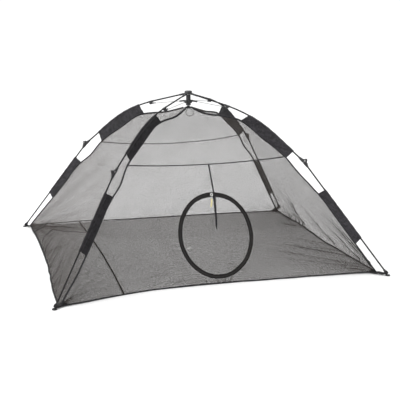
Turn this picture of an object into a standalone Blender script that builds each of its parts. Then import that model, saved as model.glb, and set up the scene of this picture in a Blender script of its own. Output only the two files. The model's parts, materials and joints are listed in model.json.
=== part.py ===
"""Pop-up mesh tent for a pet: a four-pole umbrella frame with knee joints, and a mesh cabin hung under it.

Metres, +Z up. The origin is the centre of the footprint, on the ground.
Each pole lies in its own upright plane through the origin. Along that plane the pole frame is
(r, t, z): r outwards, t sideways and z up, and the four poles are that frame turned about Z.
"""

import math

import bmesh
import bpy
import numpy as np
from mathutils import Matrix, Vector

for old in list(bpy.data.objects):
    bpy.data.objects.remove(old, do_unlink=True)

# ---------------------------------------------------------------- driving dimensions, in metres
HALF_WIDTH = 0.925                 # centre to foot, along X
HALF_DEPTH = 0.814                 # centre to foot, along Y
POLE_SPAN = math.hypot(HALF_WIDTH, HALF_DEPTH)
CX, CY = HALF_WIDTH / POLE_SPAN, HALF_DEPTH / POLE_SPAN
POLES = {"A": (-1, 1), "B": (-1, -1), "C": (1, -1), "D": (1, 1)}   # rear left, front left, front right, rear right

ROD_R = 0.0042                     # glass-fibre rod
ROD_HOLE_R = 0.0045
WIRE_R, WIRE_RING_R = 0.0011, 0.02425   # the ring of wire that the four rods turn on
STUB_R = 0.0015                    # the runner's moulded pins, which the struts turn on
PIN_HOLE_R = 0.0018
ELBOW_PIN_R = 0.0022
ELBOW_HOLE_R = 0.0026

CAP_R, CAP_LOW, CAP_TOP = 0.0222, 0.9602, 0.9740
TUBE_OUT, TUBE_IN, TUBE_LOW, TUBE_TOP = 0.0136, 0.0110, 0.8880, 0.9594
HUB_PIVOT = (0.0240, 0.9545)       # r, z of the wire through each rod's eye, under the cap
EYE_HALF = 0.0049                  # half thickness of the rod's eye
EAR = (0.0054, 0.0080)             # t of each ear of the cap's forks

RUNNER_LOW, RUNNER_TOP = 0.8990, 0.9185
RUNNER_PIVOT = (0.0210, 0.9140)    # r, z of each strut's pin on the runner
STRUT_T = (0.0060, 0.0120)         # a strut lies to one side of its rod
RUNNER_LUG_T = (0.0126, 0.0156)
BRACKET_R = 0.2500                 # r of the strut's outer pivot
BRACKET_PIN = (0.2500, 0.8860)
STRUT_ROD_R = 0.0018

ELBOW = (0.7237, 0.6046)           # where the two rods' axes meet
ELBOW_PIN_OFFSET = 0.0120          # the knee's pin stands outwards of the rods
SLOPE_AT_HUB, SLOPE_AT_ELBOW = 14.0, 39.0   # degrees below level, before the rod is fitted between its ends
FOOT_AXIS_END = (1.2260, 0.0090)
FOOT_R = 1.2300
FOOT_PAD_R, FOOT_PAD_H = 0.0130, 0.0060

SLEEVE_HALF_T = 0.0010
SLEEVE_CLEAR = 0.0052              # rod's axis to the sleeve's outer edge
# where each sleeve starts and ends: r on the rod, then r on the cabin's edge
UPPER_SLEEVES = {"A": ((0.3334, 0.6247), (0.2992, 0.6062)), "B": ((0.3372, 0.6138), (0.2874, 0.5826)),
                 "C": ((0.3849, 0.6572), (0.3366, 0.6180)), "D": ((0.3975, 0.6740), (0.3543, 0.6141))}
LOWER_SLEEVES = {"A": ((0.8043, 1.0145), (0.7637, 0.9940)), "B": ((0.8030, 1.0221), (0.7617, 0.9940)),
                 "C": ((0.8508, 1.0686), (0.8129, 1.0432)), "D": ((0.8900, 1.1150), (0.8326, 1.0700))}

# the cabin's edge below each pole, in the pole frame (r, z), from the peak to the floor's corner
RIDGE = [(0.0, 0.8806), (0.158, 0.835), (0.3167, 0.814), (0.466, 0.7247), (0.6087, 0.6253),
         (0.690, 0.5366), (0.785, 0.4625), (0.900, 0.3275), (1.010, 0.200), (1.179, 0.004)]
SEAM_R, SEAM_Z = 0.6087, 0.6253    # the cross seam leaves the ridge at the end of the upper sleeve
PEAK_Z = 0.8806
SEAM_MID_Z = 0.607                 # and hangs a little lower in the middle
WALL_LOW = 0.0040
WALL_T = 0.0020
WALL_EDGE_CLEAR = 0.0040           # from the ridge to a wall's edge
WALL_START_R = 0.035               # the opening at the peak
# distance of each wall's middle from the centre, at the cross seam and at the ground
MIDDLES = {"front": (0.402, 0.680), "rear": (0.402, 0.772), "left": (0.457, 0.860), "right": (0.457, 0.878)}
FLAT_HALF = 0.250                  # the front wall is flat this far each side of the port

FLOOR_T = 0.0018
FLOOR_X, FLOOR_Y = 0.885, 0.779    # floor corner
TAB_HALF = 0.0090                  # half width of the webbing tab at each corner
FLOOR_BOW = {"front": 0.099, "rear": 0.006, "left": 0.025, "right": 0.007}

PORT_X, PORT_S = -0.0043, 0.2697   # port centre: x, and height up the sloping front panel
PORT_A, PORT_B = 0.2018, 0.2294    # half axes of the binding's centre line
BAND_HALF, BAND_N = 0.0100, 0.0015 # half width of the binding and half thickness
FLAP_CLEAR = 0.0040
FLAP_HINGE_S = 0.2000              # the flap's hinge above the port's centre
FLAP_N = 0.00075
PORT_SWING = (0.0, -0.3580, 1.2100)   # the port swings about this line as the front wall is drawn in by the folding frame

CORD_R = 0.0014

# ---------------------------------------------------------------- helpers
scene = bpy.context.scene


def material(name, rgb, roughness, metallic=0.0):
    m = bpy.data.materials.new(name)
    m.use_nodes = True
    b = m.node_tree.nodes["Principled BSDF"]
    b.inputs["Base Color"].default_value = (*rgb, 1)
    b.inputs["Roughness"].default_value = roughness
    b.inputs["Metallic"].default_value = metallic
    m.diffuse_color = (*rgb, 1)
    return m


def to_mesh(bm, name="shape"):
    bmesh.ops.recalc_face_normals(bm, faces=bm.faces)
    mesh = bpy.data.meshes.new(name)
    bm.to_mesh(mesh)
    bm.free()
    return mesh


def cylinder(p0, p1, radius, sides=16, radius2=None):
    """A closed cylinder or cone from p0 to p1."""
    a, b = Vector(p0), Vector(p1)
    d = b - a
    bm = bmesh.new()
    bmesh.ops.create_cone(bm, cap_ends=True, cap_tris=False, segments=sides, radius1=radius,
                          radius2=radius if radius2 is None else radius2, depth=d.length)
    turn = d.to_track_quat("Z", "Y").to_matrix().to_4x4()
    bmesh.ops.transform(bm, matrix=Matrix.Translation((a + b) / 2) @ turn, verts=bm.verts)
    return to_mesh(bm)


def turned(profile, sides, closed):
    """A profile of (r, z) spun about Z. A closed profile makes a ring; an open one starts and ends on the axis."""
    bm = bmesh.new()
    verts = [bm.verts.new((r, 0, z)) for r, z in profile]
    edges = [bm.edges.new((verts[i], verts[i + 1])) for i in range(len(verts) - 1)]
    if closed:
        edges.append(bm.edges.new((verts[-1], verts[0])))
    bmesh.ops.spin(bm, geom=verts + edges, cent=(0, 0, 0), axis=(0, 0, 1), angle=math.tau,
                   steps=sides, use_merge=True)
    bmesh.ops.remove_doubles(bm, verts=bm.verts, dist=1e-6)
    return to_mesh(bm)


def spindle(start, along, stations, sides=14):
    """A closed round bar from start; stations are (distance, radius) pairs along the (r, z) direction."""
    m = turned([(0, stations[0][0])] + [(r, s) for s, r in stations] + [(0, stations[-1][0])], sides, False)
    turn = Vector((along[0], 0, along[1])).to_track_quat("Z", "Y").to_matrix().to_4x4()
    m.transform(Matrix.Translation((start[0], 0, start[1])) @ turn)
    return m


def prism(points, t0, t1, frame=None):
    """A flat outline given as (r, z) points, thickened along t. frame moves it elsewhere."""
    bm = bmesh.new()
    face = bm.faces.new([bm.verts.new((r, t0, z)) for r, z in points])
    made = bmesh.ops.extrude_face_region(bm, geom=[face])
    up = [v for v in made["geom"] if isinstance(v, bmesh.types.BMVert)]
    bmesh.ops.translate(bm, verts=up, vec=(0, t1 - t0, 0))
    if frame is not None:
        bmesh.ops.transform(bm, matrix=frame, verts=bm.verts)
    return to_mesh(bm)


def circle(centre, radius, n=16):
    return [(centre[0] + radius * math.cos(math.tau * i / n), centre[1] + radius * math.sin(math.tau * i / n))
            for i in range(n)]


def hull(points):
    """Convex outline round a set of (r, z) points."""
    pts = sorted(set((round(x, 7), round(y, 7)) for x, y in points))

    def half(seq):
        out = []
        for p in seq:
            while len(out) > 1 and ((out[-1][0] - out[-2][0]) * (p[1] - out[-2][1])
                                    - (out[-1][1] - out[-2][1]) * (p[0] - out[-2][0])) <= 0:
                out.pop()
            out.append(p)
        return out
    a, b = half(pts), half(pts[::-1])
    return a[:-1] + b[:-1]


def link(mesh, name):
    o = bpy.data.objects.new(name, mesh)
    scene.collection.objects.link(o)
    return o


def combined(base, others, operation):
    """base with each of the others joined to it or cut from it, as one mesh."""
    o, tools = link(base, "base"), []
    for m in others:
        t = link(m, "tool")
        mod = o.modifiers.new("join", "BOOLEAN")
        mod.operation, mod.object, mod.solver = operation, t, "EXACT"
        tools.append(t)
    bpy.context.view_layer.update()
    out = bpy.data.meshes.new_from_object(o.evaluated_get(bpy.context.evaluated_depsgraph_get()))
    for t in tools + [o]:
        bpy.data.objects.remove(t, do_unlink=True)
    return out


def smooth(mesh, angle=35):
    mesh.shade_smooth()
    mesh.set_sharp_from_angle(angle=math.radians(angle))
    return mesh


def grid_mesh(points):
    """A quad sheet through a (rows, columns, 3) array."""
    rows, cols = points.shape[:2]
    verts = [tuple(p) for p in points.reshape(-1, 3)]
    faces = [(i * cols + j, i * cols + j + 1, (i + 1) * cols + j + 1, (i + 1) * cols + j)
             for i in range(rows - 1) for j in range(cols - 1)]
    mesh = bpy.data.meshes.new("sheet")
    mesh.from_pydata(verts, [], faces)
    return mesh


def thicken(o, thickness):
    mod = o.modifiers.new("thickness", "SOLIDIFY")
    mod.thickness, mod.offset, mod.use_rim = thickness, 0, True


# ---------------------------------------------------------------- the pole in its own plane
def upper_rod_line(n=18):
    """The bowed upper rod: its slope grows smoothly from hub to knee, and it is fitted between its two ends."""
    a, b = np.array(HUB_PIVOT), np.array(ELBOW)
    u = np.linspace(0, 1, 400)
    x = np.clip((u - 0.2) / 0.6, 0, 1)
    slope = np.radians(SLOPE_AT_HUB + (SLOPE_AT_ELBOW - SLOPE_AT_HUB) * x * x * (3 - 2 * x))
    d = np.stack([np.cos(slope), -np.sin(slope)], 1)
    p = np.concatenate([[[0, 0]], np.cumsum((d[1:] + d[:-1]) / 2, axis=0)]) / (len(u) - 1)
    end, want = p[-1], b - a
    k = np.hypot(*want) / np.hypot(*end)
    turn = math.atan2(want[1], want[0]) - math.atan2(end[1], end[0])
    rot = np.array([[math.cos(turn), -math.sin(turn)], [math.sin(turn), math.cos(turn)]])
    line = a + k * p @ rot.T
    i = np.linspace(0, len(u) - 1, n).round().astype(int)
    return line[i], line


UPPER, UPPER_FINE = upper_rod_line()


def on_upper(r):
    """Point and direction of the upper rod's axis at r."""
    z = np.interp(r, UPPER_FINE[:, 0], UPPER_FINE[:, 1])
    z2 = np.interp(r + 0.004, UPPER_FINE[:, 0], UPPER_FINE[:, 1])
    d = np.array([0.004, z2 - z])
    return np.array([r, z]), d / np.linalg.norm(d)


def at(p, t=0.0):
    return (p[0], t, p[1])


def offset(p, d, along, out=0.0):
    """Point along a line's direction d from p, and out to the line's upper, outer side."""
    n = np.array([-d[1], d[0]])
    return np.array(p) + np.array(d) * along + n * out


_, HUB_DIR = on_upper(HUB_PIVOT[0] + 0.001)
KNEE_UP = UPPER_FINE[-1] - UPPER_FINE[-8]
KNEE_UP = KNEE_UP / np.linalg.norm(KNEE_UP)
LOW_DIR = np.array(FOOT_AXIS_END) - np.array(ELBOW)
LOW_LEN = float(np.linalg.norm(LOW_DIR))
LOW_DIR = LOW_DIR / LOW_LEN
KNEE_DIR = (KNEE_UP + LOW_DIR) / np.linalg.norm(KNEE_UP + LOW_DIR)
KNEE_OUT = np.array([-KNEE_DIR[1], KNEE_DIR[0]])
KNEE_PIN = np.array(ELBOW) + KNEE_OUT * ELBOW_PIN_OFFSET

# ---------------------------------------------------------------- materials
charcoal = material("moulded_charcoal", (0.030, 0.030, 0.034), 0.45)
rod_grey = material("rod_grey", (0.060, 0.060, 0.066), 0.38)
strut_grey = material("strut_grey", (0.52, 0.52, 0.54), 0.35)
steel = material("rivet_steel", (0.36, 0.36, 0.38), 0.35, 0.9)
nylon = material("sleeve_nylon", (0.032, 0.030, 0.042), 0.8)
mesh_cloth = material("mesh_cloth", (0.16, 0.16, 0.17), 0.9)
webbing = material("binding_webbing", (0.016, 0.016, 0.018), 0.85)
cord_grey = material("cord_grey", (0.12, 0.12, 0.13), 0.8)
zip_metal = material("zip_slider_metal", (0.08, 0.08, 0.09), 0.4, 0.6)

# ---------------------------------------------------------------- empties: one frame per pole, and one on each joint's axis
axes = {}
for name, (sx, sy) in POLES.items():
    pole = bpy.data.objects.new("pole_frame_" + name, None)
    pole.rotation_euler = (0, 0, math.atan2(sy * HALF_DEPTH, sx * HALF_WIDTH))
    scene.collection.objects.link(pole)
    for joint, place in (("hub", (HUB_PIVOT[0], 0, HUB_PIVOT[1])), ("elbow", at(KNEE_PIN)),
                         ("strut", (RUNNER_PIVOT[0], 0, RUNNER_PIVOT[1])), ("fixed", (0, 0, 0))):
        e = bpy.data.objects.new(f"axis_{joint}_{name}", None)
        e.parent = pole
        e.location = place
        scene.collection.objects.link(e)
        axes[joint, name] = e
body_axis = bpy.data.objects.new("axis_runner", None)
scene.collection.objects.link(body_axis)
port_axis = bpy.data.objects.new("axis_port", None)
port_axis.location = PORT_SWING
scene.collection.objects.link(port_axis)


def piece(name, data, mat, parent=None, round_angle=35):
    """One node. Its shape is drawn in the pole frame (or the world), so it sits back by its parent's own place."""
    if isinstance(data, bpy.types.Mesh):
        if round_angle:
            smooth(data, round_angle)
    o = bpy.data.objects.new(name, data)
    if not data.materials:
        data.materials.append(mat)
    scene.collection.objects.link(o)
    if parent is not None:
        o.parent = parent
        o.location = -parent.location
        if parent.parent is port_axis:
            o.location -= port_axis.location
    return o


def for_each_pole(stem, data, mat, joint, round_angle=35):
    for name in POLES:
        piece(f"{stem}_{name}", data, mat, axes[joint, name], round_angle)


def line_curve(name, points, radius, resolution=1):
    curve = bpy.data.curves.new(name, "CURVE")
    curve.dimensions = "3D"
    curve.bevel_depth, curve.bevel_resolution, curve.use_fill_caps = radius, resolution, True
    s = curve.splines.new("POLY")
    s.points.add(len(points) - 1)
    for q, p in zip(s.points, points):
        q.co = (*p, 1)
    return curve


# ---------------------------------------------------------------- hub: cap with forks, tube, rivets
cap = turned([(0, CAP_LOW), (CAP_R - 0.0012, CAP_LOW), (CAP_R, CAP_LOW + 0.0012), (CAP_R, CAP_TOP - 0.0055),
              (CAP_R - 0.0022, CAP_TOP - 0.0022), (CAP_R - 0.0065, CAP_TOP - 0.0004), (0, CAP_TOP)], 24, False)
parts = [cylinder((0, 0, TUBE_TOP - 0.016), (0, 0, CAP_LOW + 0.002), TUBE_IN - 0.0004, 16)]
for sx, sy in POLES.values():
    turn = Matrix.Rotation(math.atan2(sy * HALF_DEPTH, sx * HALF_WIDTH), 4, "Z")
    outline = hull([(0.0144, CAP_LOW + 0.001), (0.0210, CAP_LOW + 0.001), (0.0144, CAP_LOW - 0.006)]
                   + circle(HUB_PIVOT, 0.0046, 10))
    for t0, t1 in (EAR, (-EAR[1], -EAR[0])):
        parts.append(prism(outline, t0, t1, turn))
cap = combined(cap, parts, "UNION")


def wire_ring(radius, steps=36, sides=6):
    """The hub's wire: a closed ring of round section in a level plane."""
    section = [(WIRE_RING_R + radius * math.cos(math.tau * (i + 0.5) / sides),
                HUB_PIVOT[1] + radius * math.sin(math.tau * (i + 0.5) / sides)) for i in range(sides)]
    return turned(section, steps, True)


piece("hub_cap", combined(cap, [wire_ring(WIRE_R + 0.0004)], "DIFFERENCE"), charcoal)
piece("hub_wire", wire_ring(WIRE_R), steel)

piece("hub_tube", turned([(TUBE_OUT, TUBE_LOW + 0.003), (TUBE_OUT, TUBE_TOP), (TUBE_IN, TUBE_TOP), (TUBE_IN, TUBE_LOW),
                          (0.0156, TUBE_LOW), (0.0156, TUBE_LOW + 0.003)], 24, True), charcoal)


def rivet(centre, t0, t1, radius, head_r, head_h):
    """A rivet along t, with a head past t1."""
    shank = [(0, 0), (radius, 0), (radius, t1 - t0), (head_r, t1 - t0), (head_r, t1 - t0 + head_h * 0.6),
             (head_r * 0.6, t1 - t0 + head_h), (0, t1 - t0 + head_h)]
    m = turned(shank, 12, False)
    m.transform(Matrix.Translation(at(centre, t0)) @ Matrix.Rotation(-math.pi / 2, 4, "X"))
    return m


# ---------------------------------------------------------------- runner: collar, flange, and a lug with a moulded pin for each strut
runner = turned([(0.0140, RUNNER_LOW), (0.0217, RUNNER_LOW), (0.0225, RUNNER_LOW + 0.001), (0.0225, RUNNER_LOW + 0.006),
                 (0.0165, RUNNER_LOW + 0.007), (0.0165, RUNNER_TOP), (0.0140, RUNNER_TOP)], 24, True)
lugs = []
for sx, sy in POLES.values():
    turn = Matrix.Rotation(math.atan2(sy * HALF_DEPTH, sx * HALF_WIDTH), 4, "Z")
    outline = hull([(0.0050, RUNNER_LOW + 0.004), (0.0165, RUNNER_LOW + 0.004), (0.0050, RUNNER_TOP - 0.001)]
                   + circle(RUNNER_PIVOT, 0.0042, 10))
    stub = cylinder(at(RUNNER_PIVOT, STRUT_T[0] - 0.0002), at(RUNNER_PIVOT, RUNNER_LUG_T[0] + 0.001), STUB_R, 8)
    stub.transform(turn)
    lugs += [prism(outline, *RUNNER_LUG_T, turn), stub]
keep_bore = cylinder((0, 0, RUNNER_LOW - 0.01), (0, 0, RUNNER_TOP + 0.01), 0.0140, 24)
# a notch in the flange under each strut, which hangs down through it when the frame is folded
notches = [prism([(0.0166, RUNNER_LOW - 0.002), (0.0300, RUNNER_LOW - 0.002), (0.0300, RUNNER_LOW + 0.0080),
                  (0.0166, RUNNER_LOW + 0.0080)], 0.0048, 0.0124,
                 Matrix.Rotation(math.atan2(sy * HALF_DEPTH, sx * HALF_WIDTH), 4, "Z")) for sx, sy in POLES.values()]
runner = combined(combined(runner, lugs, "UNION"), [keep_bore] + notches, "DIFFERENCE")
piece("runner", runner, charcoal, body_axis)

# ---------------------------------------------------------------- struts, beside each upper rod
a, b = np.array(RUNNER_PIVOT), np.array(BRACKET_PIN)
sdir = (b - a) / np.linalg.norm(b - a)
mid_t = sum(STRUT_T) / 2
strut = combined(
    prism(hull(circle(a, 0.0050, 12) + circle(offset(a, sdir, 0.030), 0.0040, 12)), *STRUT_T),
    [cylinder(at(offset(a, sdir, 0.020), mid_t), at(offset(b, sdir, -0.024), mid_t), STRUT_ROD_R, 6),
     cylinder(at(offset(b, sdir, -0.032), mid_t), at(offset(b, sdir, -0.001), mid_t), 0.0027, 8, 0.0031),
     prism(circle(b, 0.0048, 10), *STRUT_T),
     cylinder(at(b, STRUT_T[0] - 0.0002), at(b, STRUT_T[1] + 0.0012), 0.0022, 8)], "UNION")
strut = combined(strut, [cylinder(at(a, 0.004), at(a, 0.014), PIN_HOLE_R, 8)], "DIFFERENCE")
for_each_pole("strut", strut, strut_grey, "strut")

# ---------------------------------------------------------------- upper pole
p = np.array(HUB_PIVOT)
eye = combined(prism(circle(p, 0.0048, 16), -EYE_HALF, EYE_HALF),
               [cylinder(at(offset(p, HUB_DIR, 0.002)), at(offset(p, HUB_DIR, 0.012)), 0.0049, 14),
                cylinder(at(offset(p, HUB_DIR, 0.0095)), at(offset(p, HUB_DIR, 0.036)), 0.0057, 14, 0.0055)], "UNION")
eye = combined(eye, [cylinder(at(p, -0.008), at(p, 0.008), PIN_HOLE_R, 12),
                     cylinder(at(offset(p, HUB_DIR, 0.0105)), at(offset(p, HUB_DIR, 0.060)), ROD_HOLE_R, 12)], "DIFFERENCE")
for_each_pole("hub_eye", eye, charcoal, "hub")

start = offset(p, HUB_DIR, 0.0112)
knee_a = offset(ELBOW, KNEE_UP, -0.0062)
rod_points = [at(start)] + [at(q) for q in UPPER if start[0] + 0.02 < q[0] < knee_a[0] - 0.02] + [at(knee_a)]
for_each_pole("upper_rod", line_curve("upper_rod", rod_points, ROD_R), rod_grey, "hub", None)

p, d = on_upper(BRACKET_R)
barrel = cylinder(at(offset(p, d, -0.017)), at(offset(p, d, 0.017)), 0.0056, 14)
lug = prism(hull(circle(BRACKET_PIN, 0.0050, 14) + [tuple(offset(p, d, -0.011, -0.003)), tuple(offset(p, d, 0.011, -0.003))]),
            -0.0045, 0.0054)
bracket = combined(combined(barrel, [lug], "UNION"),
                   [cylinder(at(offset(p, d, -0.03)), at(offset(p, d, 0.03)), ROD_HOLE_R + 0.0001, 12)], "DIFFERENCE")
for_each_pole("strut_bracket", bracket, charcoal, "hub")

# knee, upper half: a socket and one tongue
e = np.array(ELBOW)


def knee_half(direction, sign, plates, relief, bosses=()):
    """sign -1 is the half on the upper rod. plates are the t spans of its tongue or fork, and relief the spans that it
    leaves clear for the other half's."""
    along = np.array(direction)
    socket = spindle(e, along * sign, [(0.0010, 0.0076), (0.0060, 0.0092), (0.0120, 0.0091), (0.0180, 0.0083), (0.0380, 0.0062)])
    tabs = [prism(hull(circle(KNEE_PIN, 0.0062, 12)
                       + [tuple(offset(e, KNEE_DIR, sign * 0.0030, 0.0)), tuple(offset(e, KNEE_DIR, sign * 0.0210, 0.0)),
                          tuple(offset(e, KNEE_DIR, sign * 0.0210, 0.0040))]), t0, t1) for t0, t1 in plates]
    tabs += [prism(circle(KNEE_PIN, BOSS_R, 16), t0, t1) for t0, t1 in bosses]
    half = combined(socket, tabs, "UNION")
    # the two halves butt on the plane through the pin; only the tabs' round ends pass it
    box = hull([tuple(offset(e, KNEE_DIR, sign * -0.0004, 0.0070)), tuple(offset(e, KNEE_DIR, sign * -0.0004, -0.02)),
                tuple(offset(e, KNEE_DIR, sign * -0.03, 0.0070)), tuple(offset(e, KNEE_DIR, sign * -0.03, -0.02))])
    box = [tuple(offset(q, KNEE_DIR, sign * 0.0008)) for q in box]
    cuts = [prism(box, -0.016, 0.016),
            cylinder(at(KNEE_PIN, -0.018), at(KNEE_PIN, 0.018), ELBOW_HOLE_R, 10),
            cylinder(at(offset(e, along, sign * 0.0052)), at(offset(e, along, sign * 0.045)), ROD_HOLE_R, 12)]
    cuts += [cylinder(at(KNEE_PIN, t0), at(KNEE_PIN, t1), 0.0095, 18) for t0, t1 in relief]
    return combined(half, cuts, "DIFFERENCE")


TONGUE, FORK = [(-0.0039, 0.0039)], [(0.0044, 0.0075), (-0.0075, -0.0044)]
BOSS_R = 0.0085                    # the round boss on each side of the knee
for_each_pole("elbow_upper", knee_half(KNEE_UP, -1, TONGUE, [(0.00415, 0.0160), (-0.0160, -0.00415)]), charcoal, "hub")
for_each_pole("elbow_lower", knee_half(LOW_DIR, 1, FORK, [(-0.00415, 0.00415)], [(0.0070, 0.0106), (-0.0106, -0.0070)]),
              charcoal, "elbow")
for_each_pole("elbow_pin", combined(rivet(KNEE_PIN, -0.0116, 0.0110, ELBOW_PIN_R, 0.0046, 0.0014),
                                    [cylinder(at(KNEE_PIN, -0.0124), at(KNEE_PIN, -0.0110), 0.0046, 12)], "UNION"),
              steel, "elbow")

# ---------------------------------------------------------------- lower pole and foot
knee_b = offset(ELBOW, LOW_DIR, 0.0062)
foot_end = np.array(FOOT_AXIS_END)
rod_end = offset(foot_end, LOW_DIR, -0.0100)
for_each_pole("lower_rod", line_curve("lower_rod", [at(knee_b), at((knee_b + rod_end) / 2), at(rod_end)], ROD_R),
              rod_grey, "elbow", None)

foot = combined(cylinder((FOOT_R, 0, 0), (FOOT_R, 0, FOOT_PAD_H), FOOT_PAD_R, 20, FOOT_PAD_R - 0.0015),
                [cylinder(at(offset(foot_end, LOW_DIR, -0.030)), at(foot_end), 0.0062, 14, 0.0072)], "UNION")
foot = combined(foot, [cylinder(at(offset(foot_end, LOW_DIR, -0.060)), at(offset(foot_end, LOW_DIR, -0.0093)), ROD_HOLE_R, 12)],
                "DIFFERENCE")
for_each_pole("foot", foot, charcoal, "elbow")

# ---------------------------------------------------------------- sleeves: cloth between rod and cabin edge
ridge_r, ridge_z = (np.array(c) for c in zip(*RIDGE))


def ridge_at(r):
    return np.array([r, np.interp(r, ridge_r, ridge_z)])


def rod_edge(r0, r1, n):
    """The sleeve's outer edge, just inside the upper rod."""
    return [tuple(offset(*on_upper(r), 0, -SLEEVE_CLEAR)) for r in np.linspace(r0, r1, n)]


def low_edge(r0, r1):
    return [tuple(offset(e, LOW_DIR, (r - ELBOW[0]) / LOW_DIR[0], -SLEEVE_CLEAR)) for r in (r0, r1)]


def ridge_edge(r0, r1):
    """The cabin's edge from r1 back to r0."""
    between = [r for r in ridge_r if r0 + 0.01 < r < r1 - 0.01]
    return [tuple(ridge_at(r)) for r in (r1, *reversed(between), r0)]


for pole in POLES:
    on_rod, on_edge = UPPER_SLEEVES[pole]
    piece(f"upper_sleeve_{pole}", prism(rod_edge(*on_rod, 7) + ridge_edge(*on_edge), -SLEEVE_HALF_T, SLEEVE_HALF_T),
          nylon, axes["hub", pole], None)
    on_rod, on_edge = LOWER_SLEEVES[pole]
    piece(f"lower_sleeve_{pole}", prism(low_edge(*on_rod) + ridge_edge(*on_edge), -SLEEVE_HALF_T, SLEEVE_HALF_T),
          nylon, axes["elbow", pole], None)


# ---------------------------------------------------------------- cabin walls
def sheet_point(side, zone, v, u):
    """A point of a wall. zone 0 runs from the peak to the cross seam and zone 1 from there to the ground, v from 0 to 1.
    u runs from one ridge to the other. Returns (sideways, outwards, z)."""
    lateral, outward = (CX, CY) if side in ("front", "rear") else (CY, CX)
    seam_out, ground_out = MIDDLES[side]
    if zone == 0:
        r = SEAM_R * v
        zr = float(np.interp(r, ridge_r, ridge_z))
        zm = PEAK_Z + (SEAM_MID_Z - PEAK_Z) * v
        out_mid = seam_out * v
    else:
        zr = SEAM_Z + (WALL_LOW - SEAM_Z) * v
        r = float(np.interp(-zr, -ridge_z[4:], ridge_r[4:]))
        zm = SEAM_MID_Z + (WALL_LOW - SEAM_MID_Z) * v
        out_mid = seam_out + (ground_out - seam_out) * v
    half = lateral * r
    x = u * half
    z = zm + (zr - zm) * u * u
    if zone == 0:
        out = out_mid + (outward * r - out_mid) * u * u
    elif side != "front":
        out = out_mid + (outward * r - out_mid) * abs(u) ** 2.4
    else:
        drop = (ground_out - seam_out) / (SEAM_MID_Z - 0.0)
        plane = seam_out + drop * (SEAM_MID_Z - z)
        edge_plane = seam_out + drop * (SEAM_MID_Z - zr)
        w = max(0.0, (abs(x) - FLAT_HALF) / max(half - FLAT_HALF, 1e-6))
        out = plane + (outward * r - edge_plane) * w ** 1.5
    return x, out, z


def placed(side, x, out, z):
    return {"front": (x, -out, z), "rear": (-x, out, z), "left": (-out, -x, z), "right": (out, x, z)}[side]


def wall_grid(side, upper_rows, lower_rows, cols):
    rows = []
    steps = [(0, v) for v in np.linspace(WALL_START_R / SEAM_R, 1, upper_rows)] + \
            [(1, v) for v in np.linspace(0, 1, lower_rows + 1)[1:]]
    lateral = CX if side in ("front", "rear") else CY
    for zone, v in steps:
        r = SEAM_R * v if zone == 0 else float(np.interp(-(SEAM_Z + (WALL_LOW - SEAM_Z) * v), -ridge_z[4:], ridge_r[4:]))
        most = 1 - WALL_EDGE_CLEAR / (lateral * r)
        rows.append([placed(side, *sheet_point(side, zone, v, u)) for u in np.linspace(-most, most, cols)])
    return np.array(rows)


def wall(side, upper_rows=6, lower_rows=6, cols=11, cut=()):
    o = link(grid_mesh(wall_grid(side, upper_rows, lower_rows, cols)), side + "_wall")
    thicken(o, WALL_T)
    if cut:
        bpy.context.view_layer.update()
        solid = bpy.data.meshes.new_from_object(o.evaluated_get(bpy.context.evaluated_depsgraph_get()))
        bpy.data.objects.remove(o, do_unlink=True)
        piece(side + "_wall", combined(solid, list(cut), "DIFFERENCE"), mesh_cloth, None, None)
        return
    o.data.materials.append(mesh_cloth)


# the port: everything round it lies in the flat of the front wall. (x, s, n): across, up the slope, outwards
TILT = math.atan2(MIDDLES["front"][1] - MIDDLES["front"][0], SEAM_MID_Z)
SLOPE_UP = Vector((0, math.sin(TILT), math.cos(TILT)))
SLOPE_OUT = Vector((0, -math.cos(TILT), math.sin(TILT)))
PORT_CENTRE = Vector((PORT_X, -MIDDLES["front"][1], 0)) + SLOPE_UP * PORT_S
PORT_FRAME = Matrix.Translation(PORT_CENTRE) @ Matrix((
    (1, SLOPE_OUT.x, SLOPE_UP.x, 0), (0, SLOPE_OUT.y, SLOPE_UP.y, 0), (0, SLOPE_OUT.z, SLOPE_UP.z, 0), (0, 0, 0, 1)))


def oval(half_x, half_s, n=44):
    return [(half_x * math.cos(math.tau * i / n), half_s * math.sin(math.tau * i / n)) for i in range(n)]


wall("front", 6, 7, 15, [prism(oval(PORT_A + BAND_HALF + 0.0012, PORT_B + BAND_HALF + 0.0012), -0.03, 0.03, PORT_FRAME)])
wall("rear")
wall("left")
wall("right")

outer = prism(oval(PORT_A + BAND_HALF, PORT_B + BAND_HALF), -BAND_N, BAND_N, PORT_FRAME)
piece("port_ring", combined(outer, [prism(oval(PORT_A - BAND_HALF, PORT_B - BAND_HALF), -0.01, 0.01, PORT_FRAME)],
                            "DIFFERENCE"), webbing, port_axis, None)

# ---------------------------------------------------------------- port flap on its hinge, with the strap that ties it
flap_axis = bpy.data.objects.new("axis_port_flap", None)
flap_axis.parent = port_axis
flap_axis.location = PORT_CENTRE + SLOPE_UP * FLAP_HINGE_S - Vector(PORT_SWING)
scene.collection.objects.link(flap_axis)
edge = oval(PORT_A - BAND_HALF - FLAP_CLEAR, PORT_B - BAND_HALF - FLAP_CLEAR, 48)
cut_x = (PORT_A - BAND_HALF - FLAP_CLEAR) * math.sqrt(1 - (FLAP_HINGE_S / (PORT_B - BAND_HALF - FLAP_CLEAR)) ** 2)
edge = [q for q in edge if q[1] < FLAP_HINGE_S - 0.004]
edge = sorted(edge, key=lambda q: (math.atan2(q[1], q[0]) - math.pi / 2) % math.tau)
edge = [(-cut_x + 0.0095, FLAP_HINGE_S)] + edge + [(cut_x - 0.0095, FLAP_HINGE_S)]
piece("port_flap", prism(edge, -FLAP_N, FLAP_N, PORT_FRAME), mesh_cloth, flap_axis, None)
strap = [(0.0075, 0.196), (0.0205, 0.196), (0.0160, 0.110), (0.0118, 0.031), (0.0058, 0.031), (0.0076, 0.110)]
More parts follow.
